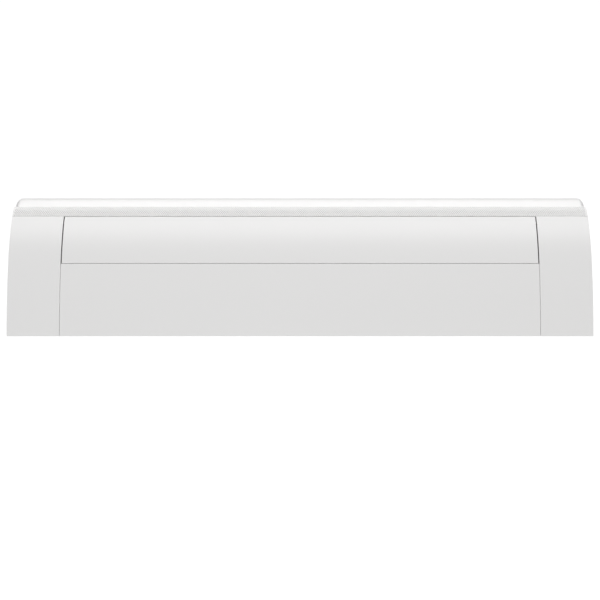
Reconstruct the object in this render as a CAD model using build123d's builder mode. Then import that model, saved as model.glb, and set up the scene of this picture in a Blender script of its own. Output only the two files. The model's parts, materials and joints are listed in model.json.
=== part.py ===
"""A long, low, wall-hung fan heater for skirting height, with a water-heated coil.

Room air rises through the grille and filter underneath, through a finned coil, into a drum
fan that runs the whole length of the casing.  The fan blows it out behind a long flap in the
front, past a row of swinging vanes.  The left end holds the water connections and the right
end the fan motor and the controls.

Frame: millimetres, X along the casing, -Y into the room, +Z up.  The origin is on the wall,
half way along, level with the casing's bottom edge.  A "lean" is how far the casing's skin
leans back from upright, in degrees, and a "depth" is a distance below that skin.
"""

import os
from dataclasses import dataclass
from math import acos, atan2, cos, degrees, hypot, radians, sin, sqrt

from build123d import *

# ---- overall sizes -----------------------------------------------------------------------
LENGTH = 990.0
DEPTH = 200.0
HEIGHT = 240.0

# ---- the casing's end view ---------------------------------------------------------------
SKIN = 2.5
FLAP_RADIUS = 232.0
STRIP_RADIUS = 66.5
CROWN_RADIUS = 46.0
LIP_WIDTH = 17.0
FACE_LEAN = 12.5
FLAP_LEAN = 34.5
STRIP_LEAN = 56.5
STRIP_THICKNESS = 2.0
COVER_CORNER = 10.0

# ---- gaps and fits -----------------------------------------------------------------------
FLAP_END_GAP = 1.6
FLAP_EDGE_GAP = 1.4
SEAM_GAP = 0.4
RUNNING_FIT = 0.05
LOOSE_FIT = 0.3
MOVING_GAP = 0.8

# ---- long parts --------------------------------------------------------------------------
END_COVER_WIDTH = 89.0
BULKHEAD = 3.0
BULKHEAD_SETBACK = 1.0
MOULDING = 2.5
WALL_REAR_GAP = 1.0

# ---- wall plate and chassis --------------------------------------------------------------
WALL_PLATE = 1.6
WALL_PLATE_LENGTH = 760.0
WALL_PLATE_DROP = 30.0
BOLT_SPACING_X = 600.0
BOLT_SPACING_Z = 120.0
BOLT_HEIGHT = 50.0
BOLT_HOLE_RADIUS = 3.0
BACK_PLATE = 1.2
BACK_PLATE_STANDOFF = 6.0
HOOK_SPACING = 520.0
HOOK_WIDTH = 30.0
HOOK_THICKNESS = 1.6
HOOK_RISE = 12.0
HOOK_DROP = 88.0
SCREW_RADIUS = 2.0
SCREW_HEAD_RADIUS = 4.0
SCREW_HEAD = 2.5
FLANGE = 16.0

# ---- fan ---------------------------------------------------------------------------------
FAN_RADIUS = 42.0
FAN_BLADE = 9.5
FAN_BLADE_THICKNESS = 1.2
FAN_BLADE_TILT = 28.0
FAN_BLADES = 34
FAN_BAYS = 8
FAN_DISC = 2.0
FAN_SETBACK_Y = 74.0
FAN_BELOW_FLAP_TOP = 80.0
FAN_END_GAP = 10.0
FAN_GAP = 4.0
SHAFT_RADIUS = 4.0
HUB_RADIUS = 10.0

# ---- air passage -------------------------------------------------------------------------
SCROLL_GAP = 10.0
SCROLL_OFFSET = 4.0
TONGUE_ANGLE = 35.0
MOUTH_DEPTH = 14.0
MOUTH_LEAN = 14.0

# ---- flap --------------------------------------------------------------------------------
FLAP_SKIN = 2.5
FLAP_THICKNESS = 9.0
CRANK_SKIN_GAP = 0.4
FLAP_PIVOT_DROP = 9.5
FLAP_PIN_RADIUS = 2.0
FLAP_OPENING = 75.0
CRANK_LENGTH = 12.0
CRANK_THICKNESS = 2.0
CRANK_HUB = 3.1
CRANK_PIN_RADIUS = 1.5
LINK_THICKNESS = 1.6
DRIVE_SPAN = 34.0
DRIVE_SLOPE = 65.0
FLAP_MOTOR_RADIUS = 12.0
FLAP_MOTOR_LENGTH = 18.0

# ---- vanes -------------------------------------------------------------------------------
VANE_COUNT = 9
VANE_END_ROOM = 63.0
VANE_CHORD = 30.0
VANE_THICKNESS = 1.5
VANE_STANDOFF = 18.0
VANE_CLEARANCE = 1.8
VANE_PIN_RADIUS = 2.0
LINK_SETBACK = 11.0
LINK_HEIGHT = -12.0
LINK_WIDTH = 4.0
NOTCH_MARGIN = 4.0
VANE_MOTOR_RADIUS = 13.0
VANE_MOTOR_LENGTH = 17.0

# ---- heating coil ------------------------------------------------------------------------
COIL_BOTTOM = 28.0
TUBE_RADIUS = 4.8
TUBE_COLUMN_PITCH = 19.0
TUBE_ROW_PITCH = 17.0
COIL_MARGIN = 24.0
FIN_THICKNESS = 0.4
FIN_PITCH = 10.0
COIL_PLATE = 1.5
COIL_END_GAP = 7.0

# ---- intake door -------------------------------------------------------------------------
GRILLE_BOTTOM = 2.0
GRILLE_THICKNESS = 4.0
GRILLE_BORDER = 10.0
GRILLE_SLOTS = 8
GRILLE_SLOT_ROWS = 12
GRILLE_RIB = 5.0
FILTER_THICKNESS = 6.0
FILTER_BORDER = 8.0
FILTER_MESH = 0.6
DOOR_PIVOT_Y = 14.0
DOOR_PIN_RADIUS = 2.0
DOOR_END_GAP = 1.5
DOOR_FRONT_GAP = 2.0

# ---- water connections -------------------------------------------------------------------
PIPE_RADIUS = 7.5
UNION_RADIUS = 12.0
UNION_BOTTOM = 24.0
UNION_LENGTH = 26.0
UNION_SOCKET = 16.0
UNION_STANDOFF = 42.0
RETURN_UNION_Y = 54.0
SUPPLY_UNION_Y = 97.0
CONNECTION_RISE = 95.0
PIPE_ENTRY = (46.0, 90.0)

# ---- motor and controls ------------------------------------------------------------------
MOTOR_RADIUS = 35.0
MOTOR_LENGTH = 46.0
MOTOR_STANDOFF = 9.0
MOUNT_RING = 3.0
MOTOR_CUP = 2.5
MOTOR_FLANGE = 8.0
BEARING_RADIUS = 12.0
CONTROL_BOX = (56.0, 80.0, 62.0)
CONTROL_BOX_WALL = 1.8
CONTROL_BOX_BOTTOM = 12.0
CONTROL_BOX_SETBACK = 18.0
CONTROL_BOX_STANDOFF = 20.0
BOARD = 1.6
GLAND_BORE = 4.5
GLAND_COLLAR = 10.0
GLAND_STEM = 7.0
GLAND_DROP = 8.0
BUTTON_RADIUS = 5.0
BUTTON_TRAVEL = 1.5

os.makedirs("parts", exist_ok=True)


def finish_piece(builder, name):
    """Label a finished piece and write it to its own file."""
    builder.part.label = name
    export_step(builder.part, f"parts/{name}.step")


# ==========================================================================================
# The casing's end view: four smooth bends and a straight lip, worked out from the top sizes
# ==========================================================================================
@dataclass
class Bend:
    """A round stretch of skin: its centre in the end view, its radius and its two leans."""

    centre: tuple
    radius: float
    start: float
    end: float

    def at(self, lean, depth=0.0):
        """The point of the skin with this lean, or the point that far below it."""
        reach = self.radius - depth
        return (
            self.centre[0] - reach * cos(radians(lean)),
            self.centre[1] + reach * sin(radians(lean)),
        )

    def then(self, radius, end):
        """The bend that carries on smoothly where this one ends."""
        step = self.radius - radius
        lean = radians(self.end)
        centre = (self.centre[0] - step * cos(lean), self.centre[1] + step * sin(lean))
        return Bend(centre, radius, self.end, end)


def rise(radius, start, end):
    """How much height a bend takes up between two leans."""
    return radius * (sin(radians(end)) - sin(radians(start)))


lip_direction = (sin(radians(STRIP_LEAN)), cos(radians(STRIP_LEAN)))
upper_height = (
    rise(FLAP_RADIUS, FACE_LEAN, FLAP_LEAN)
    + rise(STRIP_RADIUS, FLAP_LEAN, STRIP_LEAN)
    + LIP_WIDTH * lip_direction[1]
    + rise(CROWN_RADIUS, STRIP_LEAN, 90)
)
face_height = HEIGHT - upper_height
face_radius = face_height / sin(radians(FACE_LEAN))
face = Bend((face_radius - DEPTH, 0.0), face_radius, 0.0, FACE_LEAN)
brow = face.then(FLAP_RADIUS, FLAP_LEAN)
shoulder = brow.then(STRIP_RADIUS, STRIP_LEAN)
lip_start = shoulder.at(STRIP_LEAN)
lip_end = (
    lip_start[0] + LIP_WIDTH * lip_direction[0],
    lip_start[1] + LIP_WIDTH * lip_direction[1],
)
crown_centre = (
    lip_end[0] + CROWN_RADIUS * cos(radians(STRIP_LEAN)),
    lip_end[1] - CROWN_RADIUS * sin(radians(STRIP_LEAN)),
)
crown = Bend(crown_centre, CROWN_RADIUS, STRIP_LEAN, 90.0)

half_length = LENGTH / 2
cover_edge = half_length - END_COVER_WIDTH
flap_end = cover_edge - FLAP_END_GAP
panel_end = cover_edge - SEAM_GAP
bulkhead_x = cover_edge + BULKHEAD_SETBACK
bulkhead_out = bulkhead_x + BULKHEAD
union_x = bulkhead_out + UNION_STANDOFF


def arc(bend, start, end, depth=0.0):
    """The line that runs at one depth under a bend, between two leans."""
    return CenterArc(bend.centre, bend.radius - depth, 180 - start, start - end)


def skin_slice(bend, start, end, outer, inner):
    """The flat shape between two leans and two depths under a bend."""
    with BuildSketch() as shape:
        with BuildLine():
            arc(bend, start, end, outer)
            arc(bend, start, end, inner)
            Line(bend.at(start, outer), bend.at(start, inner))
            Line(bend.at(end, outer), bend.at(end, inner))
        make_face()
    return shape.sketch


def casing_outline(depth, bottom, top, rear, strip_depth):
    """The end view's shape at a depth under the front skin, closed by a flat top and rear."""
    low_lean = degrees(atan2(bottom, sqrt((face.radius - depth) ** 2 - bottom**2)))
    with BuildSketch() as shape:
        with BuildLine():
            arc(face, low_lean, FACE_LEAN, depth)
            arc(brow, FACE_LEAN, FLAP_LEAN, depth)
            Line(brow.at(FLAP_LEAN, depth), shoulder.at(FLAP_LEAN, strip_depth))
            arc(shoulder, FLAP_LEAN, STRIP_LEAN, strip_depth)
            Polyline(
                shoulder.at(STRIP_LEAN, strip_depth),
                (shoulder.at(STRIP_LEAN, strip_depth)[0], top),
                (-rear, top),
                (-rear, bottom),
                face.at(low_lean, depth),
            )
        make_face()
    return shape.sketch


# ==========================================================================================
# Wall plate and chassis
# ==========================================================================================
hook_height = HEIGHT - HOOK_DROP
hook_reach = BACK_PLATE_STANDOFF + BACK_PLATE + MOVING_GAP
back_plate_front = BACK_PLATE_STANDOFF + BACK_PLATE
bolt_centre_z = BOLT_HEIGHT + BOLT_SPACING_Z / 2

with BuildPart() as wall_bracket:
    with BuildSketch(Plane.XZ):
        with Locations((0, (HEIGHT - WALL_PLATE_DROP) / 2)):
            RectangleRounded(WALL_PLATE_LENGTH, HEIGHT - WALL_PLATE_DROP, 6)
        with Locations((0, bolt_centre_z)):
            with GridLocations(BOLT_SPACING_X, BOLT_SPACING_Z, 2, 2):
                Circle(BOLT_HOLE_RADIUS, mode=Mode.SUBTRACT)
    extrude(amount=WALL_PLATE)
    with BuildSketch(Plane.YZ):
        with BuildLine():
            Polyline(
                (-WALL_PLATE, hook_height),
                (-hook_reach - HOOK_THICKNESS, hook_height),
                (-hook_reach - HOOK_THICKNESS, hook_height + HOOK_RISE),
                (-hook_reach, hook_height + HOOK_RISE),
                (-hook_reach, hook_height + HOOK_THICKNESS),
                (-WALL_PLATE, hook_height + HOOK_THICKNESS),
                close=True,
            )
        make_face()
    with Locations((0, 0, 0)):
        hooks = extrude(amount=HOOK_WIDTH / 2, both=True, mode=Mode.PRIVATE)
    with Locations((-HOOK_SPACING / 2, 0, 0), (HOOK_SPACING / 2, 0, 0)):
        add(hooks)
finish_piece(wall_bracket, "wall_bracket")

back_bottom = 8.0
back_top = HEIGHT - 8.0
back_half = half_length - 12.0
slot_height = 16.0
screw_heights = (back_bottom + 20, HEIGHT / 2, back_top - 20)
screw_x = bulkhead_out + FLANGE / 2

with BuildPart() as back_plate:
    with BuildSketch(Plane.XZ.offset(BACK_PLATE_STANDOFF)):
        with Locations((0, (back_bottom + back_top) / 2)):
            Rectangle(2 * back_half, back_top - back_bottom)
        slot_z = hook_height + HOOK_THICKNESS - slot_height / 2
        with Locations((-HOOK_SPACING / 2, slot_z), (HOOK_SPACING / 2, slot_z)):
            Rectangle(HOOK_WIDTH + 4 * LOOSE_FIT, slot_height, mode=Mode.SUBTRACT)
        for height in screw_heights:
            with Locations((-screw_x, height), (screw_x, height)):
                Circle(SCREW_RADIUS, mode=Mode.SUBTRACT)
    extrude(amount=BACK_PLATE)
finish_piece(back_plate, "back_plate")

# ---- the fan's place, the flap's pivot and the air passage in the end view ----------------
flap_top_lean = FLAP_LEAN - degrees(FLAP_EDGE_GAP / 2 / FLAP_RADIUS)
flap_bottom_lean = FACE_LEAN + degrees(FLAP_EDGE_GAP / 2 / FLAP_RADIUS)
pivot_lean = flap_top_lean - degrees(FLAP_PIVOT_DROP / FLAP_RADIUS)
flap_pivot_depth = SKIN + CRANK_HUB + CRANK_SKIN_GAP
flap_pivot = brow.at(pivot_lean, flap_pivot_depth)
brow_top = brow.at(FLAP_LEAN)
fan_centre = (brow_top[0] + FAN_SETBACK_Y, brow_top[1] - FAN_BELOW_FLAP_TOP)


def from_fan(radius, angle):
    """A point round the fan: angle 0 faces the room and 90 is straight up."""
    return (
        fan_centre[0] - radius * cos(radians(angle)),
        fan_centre[1] + radius * sin(radians(angle)),
    )


floor_start = from_fan(FAN_RADIUS + FAN_GAP, -TONGUE_ANGLE)
floor_end = brow.at(MOUTH_LEAN, MOUTH_DEPTH)
sweep_radius = sqrt(flap_pivot_depth**2 + FLAP_PIVOT_DROP**2)
roof_end = (
    flap_pivot[0] + 0.35 * (sweep_radius + MOULDING),
    flap_pivot[1] - 0.94 * (sweep_radius + MOULDING),
)
scroll_radius = FAN_RADIUS + SCROLL_GAP
scroll_centre = (fan_centre[0] - SCROLL_OFFSET, fan_centre[1] - 1.0)


def on_scroll(angle, radius=scroll_radius):
    """A point of the scroll, by the angle that from_fan uses."""
    return (
        scroll_centre[0] - radius * cos(radians(angle)),
        scroll_centre[1] + radius * sin(radians(angle)),
    )


# The roof leaves the scroll where the two are in line.
roof_span = hypot(scroll_centre[0] - roof_end[0], roof_end[1] - scroll_centre[1])
roof_angle = degrees(atan2(roof_end[1] - scroll_centre[1], scroll_centre[0] - roof_end[0]))
roof_angle += degrees(acos(scroll_radius / roof_span))
roof_start = on_scroll(roof_angle)

mouth_middle = ((floor_end[0] + roof_end[0]) / 2, (floor_end[1] + roof_end[1]) / 2)
duct_run = hypot(mouth_middle[0] - fan_centre[0], mouth_middle[1] - fan_centre[1])
along = (
    (mouth_middle[0] - fan_centre[0]) / duct_run,
    (mouth_middle[1] - fan_centre[1]) / duct_run,
)
across = (along[1], -along[0])


def in_duct(point):
    """How far out of the fan, and how far up across the air's path, a point is."""
    rel = (point[0] - fan_centre[0], point[1] - fan_centre[1])
    return (
        rel[0] * along[0] + rel[1] * along[1],
        rel[0] * across[0] + rel[1] * across[1],
    )


def duct_point(out, up):
    """The end-view point that far out of the fan and up across the air's path."""
    return (
        fan_centre[0] + out * along[0] + up * across[0],
        fan_centre[1] + out * along[1] + up * across[1],
    )


def height_at(out, start, end):
    """How far up a straight wall between two points is, that far out of the fan."""
    (out_a, up_a), (out_b, up_b) = in_duct(start), in_duct(end)
    return up_a + (up_b - up_a) * (out - out_a) / (out_b - out_a)


def bent_wall(points, thickness=MOULDING):
    """The flat shape of a thin wall along a bent line, with rounded knuckles."""
    with BuildSketch() as shape:
        with BuildLine():
            Polyline(*points)
        trace(line_width=thickness)
        with Locations(*points[1:-1]):
            Circle(thickness / 2)
    return shape.sketch


vane_reach = FAN_RADIUS + VANE_STANDOFF
vane_pitch = 2 * (bulkhead_x - VANE_END_ROOM) / (VANE_COUNT - 1)
vane_x = [(i - (VANE_COUNT - 1) / 2) * vane_pitch for i in range(VANE_COUNT)]
vane_origin = duct_point(vane_reach, 0)
along_3d = (0, along[0], along[1])
across_3d = (0, across[0], across[1])


def vane_axis(x, up=0.0):
    """A plane square to a vane's pivot pins, that far up the pivot line."""
    y, z = duct_point(vane_reach, up)
    return Plane(origin=(x, y, z), x_dir=along_3d, z_dir=across_3d)


floor_up = height_at(vane_reach, floor_start, floor_end)
roof_up = height_at(vane_reach, roof_start, roof_end)
pin_hole = VANE_PIN_RADIUS + RUNNING_FIT

# ---- the coil's place ---------------------------------------------------------------------
columns = int((DEPTH - 2 * COIL_MARGIN) // TUBE_COLUMN_PITCH)
coil_depth = columns * TUBE_COLUMN_PITCH
coil_height = 2 * TUBE_ROW_PITCH
coil_y = -DEPTH / 2
coil_z = COIL_BOTTOM + coil_height / 2
coil_top = COIL_BOTTOM + coil_height
coil_front = coil_y - coil_depth / 2
coil_rear = coil_y + coil_depth / 2
coil_half = bulkhead_x - COIL_END_GAP

# ==========================================================================================
# Air passage: the scroll round the back of the fan with the roof, and the tongue with the floor
# ==========================================================================================
web_back = (roof_end[0] + 10.4, roof_end[1] + 5.5)
web_lean = degrees(acos((shoulder.centre[0] - web_back[0]) / (shoulder.radius - STRIP_THICKNESS)))
web_top = (web_back[0], shoulder.at(web_lean, STRIP_THICKNESS)[1] - SKIN - MOULDING)

with BuildPart() as scroll_housing:
    with BuildSketch(Plane.YZ):
        with BuildLine():
            CenterArc(scroll_centre, scroll_radius + MOULDING / 2, -20, 200 - roof_angle)
            CenterArc(scroll_centre, scroll_radius - MOULDING / 2, -20, 200 - roof_angle)
            for angle in (200, roof_angle):
                Line(
                    on_scroll(angle, scroll_radius - MOULDING / 2),
                    on_scroll(angle, scroll_radius + MOULDING / 2),
                )
        make_face()
        add(bent_wall([roof_start, roof_end, web_back, web_top]))
        add(bent_wall([on_scroll(200), (coil_rear, coil_top + 12), (coil_rear, coil_top)]))
        with Locations(on_scroll(200)):
            Circle(MOULDING / 2)
    extrude(amount=bulkhead_x, both=True)
    with Locations(*[vane_axis(x, roof_up) for x in vane_x]):
        Cylinder(pin_hole, 4 * MOULDING, mode=Mode.SUBTRACT)
finish_piece(scroll_housing, "scroll_housing")

with BuildPart() as front_tongue:
    with BuildSketch(Plane.YZ):
        add(bent_wall([floor_end, floor_start, (coil_front, coil_top + 4), (coil_front, coil_top)]))
    extrude(amount=bulkhead_x, both=True)
    with Locations(*[vane_axis(x, floor_up) for x in vane_x]):
        Cylinder(pin_hole, 4 * MOULDING, mode=Mode.SUBTRACT)
finish_piece(front_tongue, "front_tongue")

# ==========================================================================================
# Bulkheads: the two inner end walls that carry the fan, the flap, the door and the coil
# ==========================================================================================
bulkhead_depth = SKIN + 0.2
bulkhead_strip_depth = STRIP_THICKNESS + SKIN + SEAM_GAP
bulkhead_bottom = 3.0
bulkhead_top = shoulder.at(STRIP_LEAN, bulkhead_strip_depth)[1] + SEAM_GAP
door_pivot = (-DOOR_PIVOT_Y, GRILLE_BOTTOM + GRILLE_THICKNESS)
door_pin_hole = DOOR_PIN_RADIUS + RUNNING_FIT
flap_pin_hole = FLAP_PIN_RADIUS + RUNNING_FIT

for side, side_name in ((-1, "left"), (1, "right")):
    with BuildPart() as bulkhead:
        with BuildSketch(Plane.YZ.offset(side * bulkhead_x)):
            add(
                casing_outline(
                    bulkhead_depth,
                    bulkhead_bottom,
                    bulkhead_top,
                    back_plate_front,
                    bulkhead_strip_depth,
                )
            )
            with Locations(fan_centre):
                Circle(BEARING_RADIUS, mode=Mode.SUBTRACT)
            with Locations(flap_pivot):
                Circle(flap_pin_hole, mode=Mode.SUBTRACT)
            with Locations(door_pivot):
                Circle(door_pin_hole, mode=Mode.SUBTRACT)
            with Locations((coil_y, coil_z)):
                with GridLocations(TUBE_COLUMN_PITCH, TUBE_ROW_PITCH, columns, 2):
                    Circle(TUBE_RADIUS + LOOSE_FIT, mode=Mode.SUBTRACT)
        extrude(amount=side * BULKHEAD)
        with BuildSketch(Plane.XZ.offset(back_plate_front)):
            middle = (side * (bulkhead_out + FLANGE / 2), (back_bottom + back_top) / 2)
            with Locations(middle):
                Rectangle(FLANGE, back_top - back_bottom)
            with Locations(*[(side * screw_x, height) for height in screw_heights]):
                Circle(SCREW_RADIUS, mode=Mode.SUBTRACT)
        extrude(amount=BULKHEAD)
    finish_piece(bulkhead, f"{side_name}_bulkhead")

with BuildPart() as chassis_screws:
    for side in (-1, 1):
        for height in screw_heights:
            with BuildSketch(Plane.XZ.offset(BACK_PLATE_STANDOFF - 1)):
                with Locations((side * screw_x, height)):
                    Circle(SCREW_RADIUS)
            extrude(amount=BACK_PLATE + BULKHEAD + 1)
            with BuildSketch(Plane.XZ.offset(back_plate_front + BULKHEAD)):
                with Locations((side * screw_x, height)):
                    Circle(SCREW_HEAD_RADIUS)
            extrude(amount=SCREW_HEAD)
finish_piece(chassis_screws, "chassis_screws")

# ==========================================================================================
# Outer shells
# ==========================================================================================
cover_rear = WALL_REAR_GAP
strip_top_z = lip_start[1]
cover_top = strip_top_z - SEAM_GAP
entry_y = -(RETURN_UNION_Y + SUPPLY_UNION_Y) / 2
box_front = -DEPTH + CONTROL_BOX_SETBACK
box_rear = box_front + CONTROL_BOX[1]
box_x = bulkhead_out + CONTROL_BOX_STANDOFF
gland_place = (box_x + CONTROL_BOX[0] / 2, (box_front + box_rear) / 2)
button_place = (box_x + CONTROL_BOX[0] - 14.0, box_front + 14.0)

for side, side_name in ((-1, "left"), (1, "right")):
    with BuildPart() as end_cover:
        with BuildSketch(Plane.YZ.offset(side * cover_edge)):
            add(casing_outline(0, 0, cover_top, cover_rear, STRIP_THICKNESS + 0.2))
        extrude(amount=side * END_COVER_WIDTH)
        with BuildSketch(Plane.YZ.offset(side * cover_edge)):
            inner = casing_outline(SKIN, SKIN, HEIGHT, 0, STRIP_THICKNESS + 0.2 + SKIN)
            add(inner)
        extrude(amount=side * (END_COVER_WIDTH - SKIN), mode=Mode.SUBTRACT)
        if side < 0:
            with BuildSketch(Plane.XY):
                with Locations((-union_x, entry_y)):
                    RectangleRounded(*PIPE_ENTRY, 12)
            extrude(amount=SKIN, mode=Mode.SUBTRACT)
        else:
            with BuildSketch(Plane.XY):
                with Locations(gland_place):
                    Circle(GLAND_COLLAR + 2)
                with Locations(button_place):
                    Circle(BUTTON_RADIUS + LOOSE_FIT)
            extrude(amount=SKIN, mode=Mode.SUBTRACT)
    finish_piece(end_cover, f"{side_name}_end_cover")

panel_bottom_return = 12.0
panel_top_return = 9.0
panel_top_lean = FACE_LEAN - degrees(FLAP_EDGE_GAP / 2 / face_radius)
return_step = degrees(SKIN / face_radius)

with BuildPart() as front_panel:
    with BuildSketch(Plane.YZ):
        add(skin_slice(face, 0, panel_top_lean, 0, SKIN))
        add(skin_slice(face, panel_top_lean - return_step, panel_top_lean, 0, panel_top_return))
        with Locations((-DEPTH + panel_bottom_return / 2, SKIN / 2)):
            Rectangle(panel_bottom_return, SKIN)
    extrude(amount=panel_end, both=True)
finish_piece(front_panel, "front_panel")

strip_lean = FLAP_LEAN + degrees(FLAP_EDGE_GAP / 2 / STRIP_RADIUS)
with BuildPart() as perforated_strip:
    with BuildSketch(Plane.YZ):
        add(skin_slice(shoulder, strip_lean, STRIP_LEAN, 0, STRIP_THICKNESS))
    extrude(amount=half_length, both=True)
finish_piece(perforated_strip, "perforated_strip")


def cover_profile(depth, rear, bottom):
    """The top cover's end view at a depth under its skin."""
    front = shoulder.at(STRIP_LEAN, depth)
    with BuildSketch() as shape:
        with BuildLine():
            Line(front, crown.at(STRIP_LEAN, depth))
            arc(crown, STRIP_LEAN, 90, depth)
            Polyline(
                crown.at(90, depth),
                (-rear, HEIGHT - depth),
                (-rear, bottom),
                (front[0] + 1.0, bottom),
                front,
            )
        make_face()
    return shape.sketch


def crest_edges(builder):
    """The edges along the lip, crown and deck at both ends of a cover."""
    return [
        edge
        for edge in builder.faces().filter_by(Axis.X).edges()
        if edge.center().Z > strip_top_z + 1 and edge.center().Y < -cover_rear - 1
    ]


with BuildPart() as cover_hollow:
    with BuildSketch(Plane.YZ):
        add(cover_profile(SKIN, -1.0, strip_top_z - 5.0))
    extrude(amount=half_length - SKIN, both=True)
    fillet(crest_edges(cover_hollow), COVER_CORNER - SKIN)

with BuildPart() as top_cover:
    with BuildSketch(Plane.YZ):
        add(cover_profile(0, cover_rear, strip_top_z))
    extrude(amount=half_length, both=True)
    fillet(crest_edges(top_cover), COVER_CORNER)
    add(cover_hollow.part, mode=Mode.SUBTRACT)
finish_piece(top_cover, "top_cover")

# ==========================================================================================
# Fan: a drum of blades on a shaft, with its bearing, motor and motor mounts
# ==========================================================================================
drum_half = bulkhead_x - FAN_END_GAP
drum_inner = FAN_RADIUS - FAN_BLADE + 1.0
blade_ring = (FAN_RADIUS + drum_inner) / 2
motor_x = bulkhead_out + MOTOR_STANDOFF
shaft_bore = SHAFT_RADIUS + RUNNING_FIT
shaft_grip = 18.0
shaft_in_motor = 30.0

with BuildPart() as fan_rotor:
    with BuildSketch(Plane.YZ):
        with Locations(fan_centre):
            with PolarLocations(blade_ring, FAN_BLADES):
                Rectangle(FAN_BLADE, FAN_BLADE_THICKNESS, rotation=FAN_BLADE_TILT)
    extrude(amount=drum_half, both=True)
    bay = 2 * drum_half / FAN_BAYS
    disc_x = [i * bay - drum_half - FAN_DISC / 2 for i in range(1, FAN_BAYS)]
    with BuildSketch(*[Plane.YZ.offset(x) for x in disc_x]):
        with Locations(fan_centre):
            Circle(FAN_RADIUS)
            Circle(drum_inner - 1.0, mode=Mode.SUBTRACT)
    extrude(amount=FAN_DISC)
    for side in (-1, 1):
        with BuildSketch(Plane.YZ.offset(side * drum_half)):
            with Locations(fan_centre):
                Circle(FAN_RADIUS)
        extrude(amount=-side * FAN_DISC)
        with BuildSketch(Plane.YZ.offset(side * drum_half)):
            with Locations(fan_centre):
                Circle(HUB_RADIUS)
        extrude(amount=-side * shaft_grip)
        with BuildSketch(Plane.YZ.offset(side * drum_half)):
            with Locations(fan_centre):
                Circle(SHAFT_RADIUS)
        extrude(amount=-side * shaft_grip, mode=Mode.SUBTRACT)
finish_piece(fan_rotor, "fan_rotor")

shaft_ends = (
    ("fan_stub_shaft", -bulkhead_out - 3.0, -drum_half + shaft_grip),
    ("motor_shaft", drum_half - shaft_grip, motor_x + shaft_in_motor),
)
for name, start, end in shaft_ends:
    with BuildPart() as shaft:
        with BuildSketch(Plane.YZ.offset(start)):
            with Locations(fan_centre):
                Circle(SHAFT_RADIUS)
        extrude(amount=end - start)
    finish_piece(shaft, name)

for side, name in ((-1, "fan_bearing"), (1, "shaft_seal")):
    with BuildPart() as ring:
        with BuildSketch(Plane.YZ.offset(side * bulkhead_x)):
            with Locations(fan_centre):
                Circle(BEARING_RADIUS)
                Circle(shaft_bore if side < 0 else shaft_bore + 2.0, mode=Mode.SUBTRACT)
        extrude(amount=side * BULKHEAD)
    finish_piece(ring, name)

ring_radius = MOTOR_RADIUS + MOUNT_RING
cup_radius = ring_radius + MOTOR_CUP
ring_length = 12.0

with BuildPart() as fan_motor:
    with BuildSketch(Plane.YZ.offset(motor_x)):
        with Locations(fan_centre):
            Circle(MOTOR_RADIUS)
    extrude(amount=MOTOR_LENGTH)
    fillet(fan_motor.edges().filter_by(GeomType.CIRCLE), 4.0)
    with BuildSketch(Plane.YZ.offset(motor_x)):
        with Locations(fan_centre):
            Circle(shaft_bore)
    extrude(amount=shaft_in_motor + 2.0, mode=Mode.SUBTRACT)
finish_piece(fan_motor, "fan_motor")

with BuildPart() as motor_mount_ring:
    with BuildSketch(Plane.YZ.offset(motor_x + 8.0)):
        with Locations(fan_centre):
            Circle(ring_radius)
            Circle(MOTOR_RADIUS, mode=Mode.SUBTRACT)
    extrude(amount=ring_length)
finish_piece(motor_mount_ring, "motor_mount_ring")

with BuildPart() as motor_cup:
    with BuildSketch(Plane.YZ.offset(bulkhead_out)):
        with Locations(fan_centre):
            Circle(cup_radius)
            Circle(ring_radius, mode=Mode.SUBTRACT)
    extrude(amount=MOTOR_STANDOFF + 8.0 + ring_length)
    with BuildSketch(Plane.YZ.offset(bulkhead_out)):
        with Locations(fan_centre):
            Circle(cup_radius + MOTOR_FLANGE)
            Circle(ring_radius, mode=Mode.SUBTRACT)
    extrude(amount=MOTOR_CUP)
finish_piece(motor_cup, "motor_cup")

# ==========================================================================================
# Flap: skin, liner and pins, with the crank that drives it
# ==========================================================================================
liner_inset = degrees(2.0 / FLAP_RADIUS)

with BuildPart() as flap_skin:
    with BuildSketch(Plane.YZ):
        add(skin_slice(brow, flap_bottom_lean, flap_top_lean, 0, FLAP_SKIN))
    extrude(amount=flap_end, both=True)
    outer_edges = flap_skin.edges().filter_by(Axis.X).group_by(Axis.Y)
    fillet(outer_edges[0], 0.8)
    top_edge = flap_skin.edges().filter_by(Axis.X).sort_by(Axis.Z)[-2:]
    fillet(top_edge.sort_by(Axis.Y)[0], 0.8)
finish_piece(flap_skin, "flap_skin")

with BuildPart() as flap_liner:
    with BuildSketch(Plane.YZ):
        liner_start = flap_bottom_lean + liner_inset
        liner_end = flap_top_lean - liner_inset
        add(skin_slice(brow, liner_start, liner_end, FLAP_SKIN, FLAP_THICKNESS))
    extrude(amount=flap_end - 2.0, both=True)
    with BuildSketch(Plane.YZ.offset(-half_length)):
        with Locations(flap_pivot):
            Circle(FLAP_PIN_RADIUS)
    extrude(amount=half_length - flap_end + 16.0, mode=Mode.SUBTRACT)
    with BuildSketch(Plane.YZ.offset(flap_end - 16.0)):
        with Locations(flap_pivot):
            Circle(FLAP_PIN_RADIUS)
    extrude(amount=half_length, mode=Mode.SUBTRACT)
finish_piece(flap_liner, "flap_liner")

crank_x = bulkhead_out + MOVING_GAP
with BuildPart() as flap_pins:
    for side, reach in ((-1, bulkhead_out + 2.0), (1, crank_x + CRANK_THICKNESS)):
        with BuildSketch(Plane.YZ.offset(side * (flap_end - 16.0))):
            with Locations(flap_pivot):
                Circle(FLAP_PIN_RADIUS)
        extrude(amount=side * (reach - flap_end + 16.0))
finish_piece(flap_pins, "flap_pins")

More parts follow.
